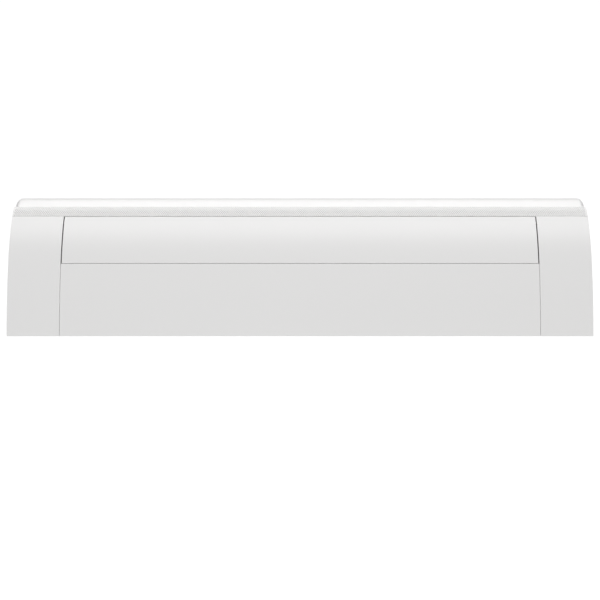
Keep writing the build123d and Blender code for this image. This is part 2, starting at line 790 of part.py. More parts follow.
# The crank turns with the flap, and a link of constant slope joins it to the motor's crank.
crank_rest = FLAP_OPENING / 2
drive_slope = (cos(radians(DRIVE_SLOPE)), -sin(radians(DRIVE_SLOPE)))
flap_motor_centre = (
    flap_pivot[0] + DRIVE_SPAN * drive_slope[0],
    flap_pivot[1] + DRIVE_SPAN * drive_slope[1],
)
crank_step = (
    CRANK_LENGTH * cos(radians(crank_rest)),
    CRANK_LENGTH * sin(radians(crank_rest)),
)
link_x = crank_x + CRANK_THICKNESS + LOOSE_FIT
flap_motor_x = crank_x + CRANK_THICKNESS + LINK_THICKNESS + 2 * LOOSE_FIT + MOVING_GAP


def crank(name, centre, hub_radius, shaft_end=None):
    """A short arm round the flap's pin, or with a shaft of its own, and the drive link's pin."""
    tip = (centre[0] + crank_step[0], centre[1] + crank_step[1])
    with BuildPart() as arm:
        with BuildSketch(Plane.YZ.offset(crank_x)):
            with Locations(centre):
                Circle(hub_radius)
            with Locations(tip):
                Circle(CRANK_PIN_RADIUS + 1.5)
            with BuildLine():
                Line(centre, tip)
            trace(line_width=2 * CRANK_PIN_RADIUS + 1.0)
            if shaft_end is None:
                with Locations(centre):
                    Circle(FLAP_PIN_RADIUS, mode=Mode.SUBTRACT)
        extrude(amount=CRANK_THICKNESS)
        if shaft_end is not None:
            with BuildSketch(Plane.YZ.offset(crank_x)):
                with Locations(centre):
                    Circle(FLAP_PIN_RADIUS)
            extrude(amount=shaft_end - crank_x)
        with BuildSketch(Plane.YZ.offset(crank_x)):
            with Locations(tip):
                Circle(CRANK_PIN_RADIUS)
        extrude(amount=CRANK_THICKNESS + LINK_THICKNESS + 2 * LOOSE_FIT)
    finish_piece(arm, name)
    return tip


crank_tip = crank("flap_crank", flap_pivot, CRANK_HUB)
motor_tip = crank("motor_crank", flap_motor_centre, CRANK_HUB + 1.0, flap_motor_x + 6.0)

with BuildPart() as drive_link:
    with BuildSketch(Plane.YZ.offset(link_x)):
        with BuildLine():
            Line(crank_tip, motor_tip)
        trace(line_width=4.0)
        with Locations(crank_tip, motor_tip):
            Circle(CRANK_PIN_RADIUS + 1.6)
            Circle(CRANK_PIN_RADIUS + LOOSE_FIT, mode=Mode.SUBTRACT)
    extrude(amount=LINK_THICKNESS)
finish_piece(drive_link, "drive_link")

post_places = [
    (
        flap_motor_centre[0] + (FLAP_MOTOR_RADIUS + 4.5) * cos(radians(angle)),
        flap_motor_centre[1] + (FLAP_MOTOR_RADIUS + 4.5) * sin(radians(angle)),
    )
    for angle in (-110, 160)
]

with BuildPart() as flap_motor:
    with BuildSketch(Plane.YZ.offset(flap_motor_x)):
        for place in post_places:
            with BuildLine():
                Line(flap_motor_centre, place)
            trace(line_width=6.0)
        with Locations(*post_places):
            Circle(3.0)
    extrude(amount=1.5)
    with BuildSketch(Plane.YZ.offset(flap_motor_x)):
        with Locations(flap_motor_centre):
            Circle(FLAP_MOTOR_RADIUS)
    extrude(amount=FLAP_MOTOR_LENGTH)
    with BuildSketch(Plane.YZ.offset(flap_motor_x)):
        with Locations(flap_motor_centre):
            Circle(FLAP_PIN_RADIUS + RUNNING_FIT)
    extrude(amount=7.0, mode=Mode.SUBTRACT)
finish_piece(flap_motor, "flap_motor")

with BuildPart() as flap_motor_posts:
    with BuildSketch(Plane.YZ.offset(bulkhead_out)):
        with Locations(*post_places):
            Circle(2.0)
    extrude(amount=flap_motor_x - bulkhead_out)
finish_piece(flap_motor_posts, "flap_motor_posts")

# ==========================================================================================
# Vanes: upright plates on pivot pins, all joined by one bar, the first turned by a motor
# ==========================================================================================
wall_margin = MOULDING / 2 + VANE_CLEARANCE
vane_rear = vane_reach - VANE_CHORD / 2
vane_front = vane_reach + VANE_CHORD / 2
notch_depth = VANE_CHORD / 2 - LINK_SETBACK + NOTCH_MARGIN
notch_height = CRANK_THICKNESS + 4 * LOOSE_FIT + 1.0
motor_grip = 7.0


def vane_corner(out, upper):
    """A corner of a vane, counted from its pivot's middle, that just clears the air passage."""
    if upper:
        up = height_at(out, roof_start, roof_end) - wall_margin
    else:
        up = height_at(out, floor_start, floor_end) + wall_margin
    return (out - vane_reach, up)


vane_floor = vane_corner(vane_reach, upper=False)[1]
vane_roof = vane_corner(vane_reach, upper=True)[1]

for i, x in enumerate(vane_x):
    with BuildPart() as vane:
        with BuildSketch(Plane((x, *vane_origin), x_dir=along_3d, z_dir=(-1, 0, 0))):
            Polygon(
                vane_corner(vane_rear, upper=False),
                vane_corner(vane_front, upper=False),
                vane_corner(vane_front, upper=True),
                vane_corner(vane_rear, upper=True),
                align=None,
            )
            notch_middle = (-VANE_CHORD / 2 + notch_depth / 2, LINK_HEIGHT)
            with Locations(notch_middle):
                Rectangle(notch_depth, notch_height, mode=Mode.SUBTRACT)
        extrude(amount=VANE_THICKNESS / 2, both=True)
        lower_end = floor_up - MOULDING - (motor_grip if i == 0 else 0.0)
        for bottom, top in ((lower_end, vane_floor + 3.0), (vane_roof - 3.0, roof_up + MOULDING)):
            with BuildSketch(vane_axis(x, bottom)):
                Circle(VANE_PIN_RADIUS)
            extrude(amount=top - bottom)
        with BuildSketch(vane_axis(x, LINK_HEIGHT - notch_height / 2)):
            with Locations((-LINK_SETBACK, 0)):
                Circle(CRANK_PIN_RADIUS)
        extrude(amount=notch_height)
    finish_piece(vane, f"vane_{i + 1:02d}")

with BuildPart() as vane_link:
    with BuildSketch(vane_axis(0, LINK_HEIGHT - CRANK_THICKNESS / 2)):
        with Locations((-LINK_SETBACK, 0)):
            SlotOverall(vane_x[-1] - vane_x[0] + 4 * LINK_WIDTH, LINK_WIDTH + 1.0, rotation=90)
            with GridLocations(1.0, vane_pitch, 1, VANE_COUNT):
                Circle(CRANK_PIN_RADIUS + LOOSE_FIT, mode=Mode.SUBTRACT)
    extrude(amount=CRANK_THICKNESS)
finish_piece(vane_link, "vane_link")

with BuildPart() as vane_motor:
    with BuildSketch(vane_axis(vane_x[0], floor_up - 1.0)):
        Circle(VANE_MOTOR_RADIUS)
        Circle(pin_hole, mode=Mode.SUBTRACT)
    extrude(amount=-VANE_MOTOR_LENGTH)
finish_piece(vane_motor, "vane_motor")

# ==========================================================================================
# Heating coil: fins on a serpentine of tube between two end plates
# ==========================================================================================
tube_y = [coil_rear - TUBE_COLUMN_PITCH * (i + 0.5) for i in range(columns)]
row_z = (coil_z - TUBE_ROW_PITCH / 2, coil_z + TUBE_ROW_PITCH / 2)
fin_count = int(2 * (coil_half - 2 * COIL_PLATE) // FIN_PITCH)
bend_x = bulkhead_out + 4.0


def coil_section(hole_radius):
    """The coil's end view with a hole for every tube."""
    with BuildSketch() as shape:
        with Locations((coil_y, coil_z)):
            Rectangle(coil_depth, coil_height)
            with GridLocations(TUBE_COLUMN_PITCH, TUBE_ROW_PITCH, columns, 2):
                Circle(hole_radius, mode=Mode.SUBTRACT)
    return shape.sketch


fin_x = [(i - (fin_count - 1) / 2) * FIN_PITCH for i in range(fin_count)]
with BuildPart() as coil_fins:
    with BuildSketch(*[Plane.YZ.offset(x - FIN_THICKNESS / 2) for x in fin_x]):
        add(coil_section(TUBE_RADIUS))
    extrude(amount=FIN_THICKNESS)
finish_piece(coil_fins, "coil_fins")

with BuildPart() as coil_end_plates:
    for side in (-1, 1):
        with BuildSketch(Plane.YZ.offset(side * coil_half)):
            add(coil_section(TUBE_RADIUS))
        extrude(amount=-side * COIL_PLATE)
finish_piece(coil_end_plates, "coil_end_plates")

# At the right each column's two tubes are joined; at the left each column joins the next.
turns = [(1, (y, row_z[0]), (y, row_z[1])) for y in tube_y]
turns += [
    (-1, (tube_y[i], row_z[(i + 1) % 2]), (tube_y[i + 1], row_z[(i + 1) % 2]))
    for i in range(columns - 1)
]
with BuildPart() as coil_tubes:
    with BuildSketch(Plane.YZ.offset(-bend_x)):
        with Locations((coil_y, coil_z)):
            with GridLocations(TUBE_COLUMN_PITCH, TUBE_ROW_PITCH, columns, 2):
                Circle(TUBE_RADIUS)
    extrude(amount=2 * bend_x)
    for side, first, second in turns:
        half = hypot(second[0] - first[0], second[1] - first[1]) / 2
        middle = ((first[0] + second[0]) / 2, (first[1] + second[1]) / 2)
        with BuildLine() as path:
            ThreePointArc(
                (side * bend_x, *first),
                (side * (bend_x + half), *middle),
                (side * bend_x, *second),
            )
        with BuildSketch(Plane.YZ.offset(side * bend_x)):
            with Locations(first):
                Circle(TUBE_RADIUS)
        sweep(path=path.line)
finish_piece(coil_tubes, "coil_tubes")


# ==========================================================================================
# Intake door: a grille that swings down at its rear edge and carries the filter
# ==========================================================================================
door_rear = -DOOR_PIVOT_Y - DOOR_PIN_RADIUS - 4.0
door_front = -DEPTH + panel_bottom_return + DOOR_FRONT_GAP
door_half = bulkhead_x - DOOR_END_GAP
grille_top = GRILLE_BOTTOM + GRILLE_THICKNESS
door_middle = (0, (door_front + door_rear) / 2)
door_width = door_rear - door_front
slot_pitch_x = (2 * door_half - 2 * GRILLE_BORDER + GRILLE_RIB) / GRILLE_SLOTS
slot_pitch_y = (door_width - 2 * GRILLE_BORDER + GRILLE_RIB) / GRILLE_SLOT_ROWS

with BuildPart() as intake_grille:
    with BuildSketch(Plane.XY.offset(GRILLE_BOTTOM)):
        with Locations(door_middle):
            Rectangle(2 * door_half, door_width)
            with GridLocations(slot_pitch_x, slot_pitch_y, GRILLE_SLOTS, GRILLE_SLOT_ROWS):
                Rectangle(slot_pitch_x - GRILLE_RIB, slot_pitch_y - GRILLE_RIB, mode=Mode.SUBTRACT)
    extrude(amount=GRILLE_THICKNESS)
    for side in (-1, 1):
        with BuildSketch(Plane.YZ.offset(side * door_half)):
            with Locations(door_pivot):
                Circle(DOOR_PIN_RADIUS + 2.0)
            with Locations((door_pivot[0] - 5.0, door_pivot[1] - 1.0)):
                Rectangle(10.0, 2 * DOOR_PIN_RADIUS + 2.0)
            with Locations(door_pivot):
                Circle(DOOR_PIN_RADIUS, mode=Mode.SUBTRACT)
        extrude(amount=-side * 12.0)
finish_piece(intake_grille, "intake_grille")

with BuildPart() as door_pins:
    for side in (-1, 1):
        with BuildSketch(Plane.YZ.offset(side * (door_half - 12.0))):
            with Locations(door_pivot):
                Circle(DOOR_PIN_RADIUS)
        extrude(amount=side * (12.0 + DOOR_END_GAP + BULKHEAD + 2.0))
finish_piece(door_pins, "door_pins")

latch_x = (-0.3 * LENGTH, 0.3 * LENGTH)
with BuildPart() as door_latches:
    with BuildSketch(Plane.XY.offset(grille_top)):
        with Locations(*[(x, door_front + 3.0) for x in latch_x]):
            Rectangle(24.0, 3.0)
    extrude(amount=8.0)
finish_piece(door_latches, "door_latches")

filter_front = door_front + GRILLE_BORDER - 2.0
filter_rear = door_rear - 4.0
filter_middle = (0, (filter_front + filter_rear) / 2)
filter_half = door_half - 14.0
filter_width = filter_rear - filter_front
mesh_z = grille_top + (FILTER_THICKNESS - FILTER_MESH) / 2

with BuildPart() as filter_frame:
    with BuildSketch(Plane.XY.offset(grille_top)):
        with Locations(filter_middle):
            Rectangle(2 * filter_half, filter_width)
            window = (2 * filter_half - FILTER_BORDER) / GRILLE_SLOTS
            with GridLocations(window, (filter_width - FILTER_BORDER) / 2, GRILLE_SLOTS, 2):
                Rectangle(
                    window - FILTER_BORDER,
                    (filter_width - FILTER_BORDER) / 2 - FILTER_BORDER,
                    mode=Mode.SUBTRACT,
                )
    extrude(amount=FILTER_THICKNESS)
    with BuildSketch(Plane.XY.offset(mesh_z)):
        with Locations(filter_middle):
            Rectangle(2 * filter_half - FILTER_BORDER, filter_width - FILTER_BORDER)
    extrude(amount=FILTER_MESH, mode=Mode.SUBTRACT)
finish_piece(filter_frame, "filter_frame")

with BuildPart() as filter_mesh:
    with BuildSketch(Plane.XY.offset(mesh_z)):
        with Locations(filter_middle):
            Rectangle(2 * filter_half - FILTER_BORDER, filter_width - FILTER_BORDER)
    extrude(amount=FILTER_MESH)
finish_piece(filter_mesh, "filter_mesh")

# ==========================================================================================
# Water connections, in the left end
# ==========================================================================================
union_top = UNION_BOTTOM + UNION_LENGTH
riser_x = bend_x + TUBE_COLUMN_PITCH / 2 + 2 * TUBE_RADIUS + 3.0


def union(name, y):
    """A brass union with a socket for a 15 mm pipe, open downwards."""
    with BuildPart() as fitting:
        with BuildSketch(Plane.XY.offset(UNION_BOTTOM)):
            with Locations((-union_x, -y)):
                Circle(UNION_RADIUS)
        extrude(amount=UNION_LENGTH)
        with BuildSketch(Plane.XY.offset(UNION_BOTTOM + 4.0)):
            with Locations((-union_x, -y)):
                RegularPolygon(UNION_RADIUS + 2.5, 6)
        extrude(amount=UNION_LENGTH / 2)
        with BuildSketch(Plane.XY.offset(UNION_BOTTOM)):
            with Locations((-union_x, -y)):
                Circle(PIPE_RADIUS + 2 * RUNNING_FIT)
        extrude(amount=UNION_SOCKET, mode=Mode.SUBTRACT)
    finish_piece(fitting, name)


union("return_union", RETURN_UNION_Y)
union("supply_union", SUPPLY_UNION_Y)

block_z = CONNECTION_RISE


def water_pipe(name, points, radii):
    """A copper pipe along straight runs joined by bends."""
    with BuildPart() as pipe:
        with BuildLine() as path:
            FilletPolyline(*points, radius=radii)
        with BuildSketch(Plane(points[0], z_dir=path.line % 0)):
            Circle(TUBE_RADIUS)
        sweep(path=path.line)
    finish_piece(pipe, name)


water_pipe(
    "supply_pipe",
    [
        (-bend_x, tube_y[-1], row_z[0]),
        (-riser_x, tube_y[-1], row_z[0]),
        (-riser_x, tube_y[-1] + 6.0, block_z),
        (-riser_x, -SUPPLY_UNION_Y, block_z),
        (-union_x, -SUPPLY_UNION_Y, block_z),
        (-union_x, -SUPPLY_UNION_Y, union_top),
    ],
    8.0,
)
water_pipe(
    "return_pipe",
    [
        (-bend_x, tube_y[0], row_z[0]),
        (-union_x, tube_y[0], row_z[0]),
        (-union_x, tube_y[0], block_z),
        (-union_x, -RETURN_UNION_Y, block_z),
        (-union_x, -RETURN_UNION_Y, union_top),
    ],
    7.0,
)

with BuildPart() as air_bleed:
    with BuildSketch(Plane.XY.offset(block_z + TUBE_RADIUS - 1.0)):
        with Locations((-union_x, (tube_y[0] - RETURN_UNION_Y) / 2)):
            Circle(5.0)
    extrude(amount=9.0)
    with BuildSketch(Plane.XY.offset(block_z + TUBE_RADIUS + 8.0)):
        with Locations((-union_x, (tube_y[0] - RETURN_UNION_Y) / 2)):
            RegularPolygon(3.5, 6)
    extrude(amount=6.0)
finish_piece(air_bleed, "air_bleed")

# ==========================================================================================
# Controls, in the right end
# ==========================================================================================
box_middle_y = (box_front + box_rear) / 2
box_middle_z = CONTROL_BOX_BOTTOM + CONTROL_BOX[2] / 2
inner_depth = CONTROL_BOX[1] - 2 * CONTROL_BOX_WALL
inner_height = CONTROL_BOX[2] - 2 * CONTROL_BOX_WALL

board_x = box_x + CONTROL_BOX_WALL + 5.0
board_depth = inner_depth - 6.0
board_height = inner_height - 12.0
board_z = box_middle_z + 4.0

with BuildPart() as control_box:
    with BuildSketch(Plane.YZ.offset(box_x)):
        with Locations((box_middle_y, box_middle_z)):
            Rectangle(CONTROL_BOX[1], CONTROL_BOX[2])
    extrude(amount=CONTROL_BOX[0])
    with BuildSketch(Plane.YZ.offset(box_x + CONTROL_BOX_WALL)):
        with Locations((box_middle_y, box_middle_z)):
            Rectangle(inner_depth, inner_height)
    extrude(amount=CONTROL_BOX[0], mode=Mode.SUBTRACT)
    with BuildSketch(Plane.XY.offset(CONTROL_BOX_BOTTOM)):
        with Locations(gland_place):
            Circle(GLAND_STEM)
    extrude(amount=CONTROL_BOX_WALL, mode=Mode.SUBTRACT)
    with BuildSketch(Plane.YZ.offset(bulkhead_out)):
        with Locations((box_middle_y, CONTROL_BOX_BOTTOM + CONTROL_BOX[2] - 4.0)):
            Rectangle(CONTROL_BOX[1] - 8.0, 8.0)
    extrude(amount=box_x - bulkhead_out)
    with BuildSketch(Plane.YZ.offset(box_x + CONTROL_BOX_WALL)):
        with Locations((box_middle_y, board_z)):
            with GridLocations(board_depth - 10.0, board_height - 10.0, 2, 2):
                Circle(2.5)
    extrude(amount=board_x - box_x - CONTROL_BOX_WALL)
finish_piece(control_box, "control_box")

with BuildPart() as control_box_lid:
    with BuildSketch(Plane.YZ.offset(box_x + CONTROL_BOX[0])):
        with Locations((box_middle_y, box_middle_z)):
            Rectangle(CONTROL_BOX[1], CONTROL_BOX[2])
    extrude(amount=CONTROL_BOX_WALL)
finish_piece(control_box_lid, "control_box_lid")

with BuildPart() as circuit_board:
    with BuildSketch(Plane.YZ.offset(board_x)):
        with Locations((box_middle_y, board_z)):
            Rectangle(board_depth, board_height)
    extrude(amount=BOARD)
finish_piece(circuit_board, "circuit_board")

# Each part of the board: how far from its middle in Y and Z, and how deep, high and proud.
board_parts = [
    (-22.0, 8.0, 16.0, 20.0, 18.0),
    (0.0, 10.0, 12.0, 14.0, 12.0),
    (16.0, 8.0, 10.0, 16.0, 9.0),
    (4.0, -12.0, 16.0, 8.0, 2.5),
]
with BuildPart() as board_components:
    for dy, dz, deep, high, proud in board_parts:
        with BuildSketch(Plane.YZ.offset(board_x + BOARD)):
            with Locations((box_middle_y + dy, board_z + dz)):
                Rectangle(deep, high)
        extrude(amount=proud)
finish_piece(board_components, "board_components")

with BuildPart() as terminal_block:
    with BuildSketch(Plane.YZ.offset(board_x + BOARD)):
        with Locations((box_middle_y - 20.0, board_z - 13.0)):
            Rectangle(24.0, 12.0)
            with GridLocations(7.0, 1.0, 3, 1):
                Circle(1.8, mode=Mode.SUBTRACT)
    extrude(amount=12.0)
finish_piece(terminal_block, "terminal_block")

gland_bottom = CONTROL_BOX_BOTTOM - GLAND_DROP
gland_length = GLAND_DROP + CONTROL_BOX_WALL + 5.0
with BuildPart() as cable_gland:
    with BuildSketch(Plane.XY.offset(gland_bottom)):
        with Locations(gland_place):
            Circle(GLAND_COLLAR)
    extrude(amount=GLAND_DROP)
    with BuildSketch(Plane.XY.offset(gland_bottom)):
        with Locations(gland_place):
            Circle(GLAND_STEM)
    extrude(amount=gland_length)
    with BuildSketch(Plane.XY.offset(gland_bottom)):
        with Locations(gland_place):
            Circle(GLAND_BORE)
    extrude(amount=gland_length, mode=Mode.SUBTRACT)
finish_piece(cable_gland, "cable_gland")

button_face = 0.5
button_collar = SKIN + LOOSE_FIT + 0.2
switch_bottom = button_collar + 2.0 + BUTTON_TRAVEL + 0.5
with BuildPart() as mode_button:
    with BuildSketch(Plane.XY.offset(button_face)):
        with Locations(button_place):
            Circle(BUTTON_RADIUS)
    extrude(amount=button_collar + 2.0 - button_face)
    with BuildSketch(Plane.XY.offset(button_collar)):
        with Locations(button_place):
            Circle(BUTTON_RADIUS + 2.0)
    extrude(amount=2.0)
finish_piece(mode_button, "mode_button")

with BuildPart() as button_switch:
    with BuildSketch(Plane.XY.offset(switch_bottom)):
        with Locations(button_place):
            Rectangle(12.0, 12.0)
    extrude(amount=CONTROL_BOX_BOTTOM - switch_bottom)
finish_piece(button_switch, "button_switch")
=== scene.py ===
# %% [markdown]
# # A low, wall-hung fan heater
#
# The heater is a long white casing whose front is one smooth curve: a nearly upright panel, a
# flap that leans back, a finely perforated strip and a rounded lip.  The imported model already
# holds every part at its real place, so this script gives the parts their surfaces: it rebuilds
# the moulded shells, the strip, the drum fan, the fins and the filter net from short formulas, and
# makes one procedural finish for each real material.

import bmesh
import bpy
import numpy as np
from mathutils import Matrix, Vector
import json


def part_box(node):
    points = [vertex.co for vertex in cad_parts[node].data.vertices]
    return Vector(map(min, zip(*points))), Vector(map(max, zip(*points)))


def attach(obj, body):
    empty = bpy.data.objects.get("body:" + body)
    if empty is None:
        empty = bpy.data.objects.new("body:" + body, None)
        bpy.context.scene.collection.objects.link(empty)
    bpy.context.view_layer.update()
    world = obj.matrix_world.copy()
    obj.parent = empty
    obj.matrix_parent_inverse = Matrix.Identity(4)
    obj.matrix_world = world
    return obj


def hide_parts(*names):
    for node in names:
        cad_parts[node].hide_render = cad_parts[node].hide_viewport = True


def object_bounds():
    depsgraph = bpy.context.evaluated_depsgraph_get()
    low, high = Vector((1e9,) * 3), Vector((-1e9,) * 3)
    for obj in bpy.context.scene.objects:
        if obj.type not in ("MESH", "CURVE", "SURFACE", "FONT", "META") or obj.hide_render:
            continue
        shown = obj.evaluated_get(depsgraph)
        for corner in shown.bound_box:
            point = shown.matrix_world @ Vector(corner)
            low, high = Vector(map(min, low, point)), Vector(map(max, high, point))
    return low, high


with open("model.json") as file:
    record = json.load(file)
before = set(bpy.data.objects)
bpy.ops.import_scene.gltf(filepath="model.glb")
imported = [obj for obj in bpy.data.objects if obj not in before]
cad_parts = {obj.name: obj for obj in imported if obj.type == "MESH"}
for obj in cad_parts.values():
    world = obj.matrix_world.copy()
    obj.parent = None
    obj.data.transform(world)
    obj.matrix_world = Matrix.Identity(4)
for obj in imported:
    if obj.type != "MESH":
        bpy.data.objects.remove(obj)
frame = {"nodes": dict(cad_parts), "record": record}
nodes = frame["nodes"]
cad_low, cad_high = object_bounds()
MM = 0.001
print("CAD box", [round(v, 4) for v in cad_low], [round(v, 4) for v in cad_high])

# %% [markdown]
# ## Camera first
#
# The heater is seen square from the front, a little above its lower edge, from about two and a
# half metres.  A long lens at that distance shows the shape almost without perspective, yet the
# upper parts, which stand further back, still come out slightly narrower.

# %% Camera
CAMERA_DISTANCE = 2.5
CAMERA_HEIGHT = 0.0612
LENS = 88.95

camera_data = bpy.data.cameras.new("camera")
camera_data.lens = LENS
camera_data.sensor_width = 36.0
camera = bpy.data.objects.new("camera", camera_data)
camera.location = (0.0, cad_low[1] - CAMERA_DISTANCE, cad_low[2] + CAMERA_HEIGHT)
camera.rotation_euler = (np.pi / 2, 0.0, 0.0)
bpy.context.scene.collection.objects.link(camera)
bpy.context.scene.camera = camera
print("camera at", tuple(round(v, 3) for v in camera.location))

# %% [markdown]
# ## A pale studio
#
# White goods are usually shown in a bright room with no hard shadow.  A floor that turns up into
# a backdrop in one curve leaves no horizon line.  It is a profile carried sideways: flat, then a
# quarter round, then upright.

# %% Studio sheet
FLOOR_DROP = 1.6
SHEET_HALF = 7.0
SHEET_BACK = 3.6
SHEET_BEND = 1.5


def grid_object(name, points, close_u=False, close_v=False):
    """A mesh from points[u, v, 3], with one four-sided face for each cell of the grid."""
    nu, nv = points.shape[:2]
    index = np.arange(nu * nv).reshape(nu, nv)
    if close_u:
        index = np.concatenate([index, index[:1]], axis=0)
    if close_v:
        index = np.concatenate([index, index[:, :1]], axis=1)
    faces = np.stack([index[:-1, :-1], index[1:, :-1], index[1:, 1:], index[:-1, 1:]], axis=-1)
    return mesh_object(name, points.reshape(-1, 3), faces.reshape(-1, 4))


def mesh_object(name, points, faces):
    """A mesh object from arrays of points and of four-cornered faces."""
    mesh = bpy.data.meshes.new(name)
    mesh.vertices.add(len(points))
    mesh.vertices.foreach_set("co", np.asarray(points, np.float32).ravel())
    mesh.loops.add(faces.size)
    mesh.loops.foreach_set("vertex_index", faces.astype(np.int32).ravel())
    mesh.polygons.add(len(faces))
    mesh.polygons.foreach_set("loop_start", np.arange(0, faces.size, 4, dtype=np.int32))
    mesh.polygons.foreach_set("use_smooth", np.ones(len(faces), bool))
    mesh.update(calc_edges=True)
    mesh.validate()
    obj = bpy.data.objects.new(name, mesh)
    bpy.context.scene.collection.objects.link(obj)
    return obj


turn = np.linspace(0, np.pi / 2, 24)
sheet_y = np.concatenate([[-SHEET_HALF], SHEET_BACK - SHEET_BEND + SHEET_BEND * np.sin(turn)])
sheet_z = np.concatenate([[0.0], SHEET_BEND - SHEET_BEND * np.cos(turn)])
sheet_y = np.append(sheet_y, SHEET_BACK)
sheet_z = np.append(sheet_z, 6.0) + cad_low[2] - FLOOR_DROP
across_x = np.array([SHEET_HALF, -SHEET_HALF])
studio = grid_object(
    "studio_sheet",
    np.stack(
        [
            np.broadcast_to(across_x, (len(sheet_y), 2)),
            np.repeat(sheet_y[:, None], 2, axis=1),
            np.repeat(sheet_z[:, None], 2, axis=1),
        ],
        axis=-1,
    ),
)
studio.visible_diffuse = False
studio.visible_glossy = False

# %% [markdown]
# ## Light
#
# The lip at the top is the brightest part and the upright panel is a little darker.  Three soft
# panels do that: a key above and in front, a weak one low in front to keep the lower panel open,
# and one above and behind, which the satin lip mirrors towards the room.  The room itself gives
# an even glow.  Each panel's place is its direction in the end view, as an angle above the
# floor, times its distance.

# %% Lamps and the glow of the room
MIDDLE = Vector((0.0, float(cad_low[1]), float(cad_low[2] + cad_high[2]) / 2))


def soft_panel(name, angle, distance, size, power):
    """A lamp panel aimed at the heater, from an angle in the end view: 0 in front, 90 above."""
    data = bpy.data.lights.new(name, "AREA")
    data.shape = "RECTANGLE"
    data.size, data.size_y = size
    data.energy = power
    lamp = bpy.data.objects.new(name, data)
    turn = np.radians(angle)
    lamp.location = MIDDLE + distance * Vector((0.0, -np.cos(turn), np.sin(turn)))
    lamp.rotation_euler = (MIDDLE - lamp.location).to_track_quat("-Z", "Y").to_euler()
    lamp.visible_camera = False
    bpy.context.scene.collection.objects.link(lamp)
    return lamp


KEY_POWER, FILL_POWER, TOP_POWER, ROOM_GLOW = 44.0, 57.0, 35.0, 0.36
REAR_POWER = 26.0
soft_panel("key_panel", 62, 3.0, (3.6, 1.2), KEY_POWER)
soft_panel("front_fill", -26, 3.2, (3.6, 1.0), FILL_POWER)
soft_panel("rear_fill", 180, 3.0, (3.0, 1.6), REAR_POWER)
soft_panel("top_panel", 112, 2.6, (3.6, 0.5), TOP_POWER)

world = bpy.data.worlds.new("room")
world.use_nodes = True
room = world.node_tree
glow = room.nodes["Background"]
glow.inputs["Strength"].default_value = ROOM_GLOW
seen = room.nodes.new("ShaderNodeBackground")
seen.inputs["Strength"].default_value = 1.0
for background in (glow, seen):
    background.inputs["Color"].default_value = (1.0, 1.0, 1.0, 1.0)
rays = room.nodes.new("ShaderNodeLightPath")
either = room.nodes.new("ShaderNodeMixShader")
room.links.new(rays.outputs["Is Camera Ray"], either.inputs[0])
room.links.new(glow.outputs[0], either.inputs[1])
room.links.new(seen.outputs[0], either.inputs[2])
room.links.new(either.outputs[0], room.nodes["World Output"].inputs["Surface"])
bpy.context.scene.world = world
bpy.context.scene.view_settings.view_transform = "Standard"

# %% [markdown]
# ## Finishes
#
# Moulded plastic is never perfectly even: its skin has a fine grain left by the tool, its colour
# drifts very slightly, and its gloss changes with the grain.  All the plastics share that, so the
# effect is one node group with its own scale, depth and tint, and each finish sets its values.


# %% Small helpers for node trees
def group_tree(name, inputs, outputs):
    """A new shader group with number or colour sockets, its input node and its output node."""
    tree = bpy.data.node_groups.new(name, "ShaderNodeTree")
    for label, kind, value in inputs:
        socket = tree.interface.new_socket(label, in_out="INPUT", socket_type=kind)
        socket.default_value = value
    for label, kind in outputs:
        tree.interface.new_socket(label, in_out="OUTPUT", socket_type=kind)
    return tree, tree.nodes.new("NodeGroupInput"), tree.nodes.new("NodeGroupOutput")


def add_node(tree, kind, values=None, **settings):
    """One node with its settings and the values of its unlinked sockets."""
    node = tree.nodes.new(kind)
    for key, value in settings.items():
        setattr(node, key, value)
    for key, value in (values or {}).items():
        node.inputs[key].default_value = value
    return node


FLOAT, COLOUR, VECTOR = "NodeSocketFloat", "NodeSocketColor", "NodeSocketVector"


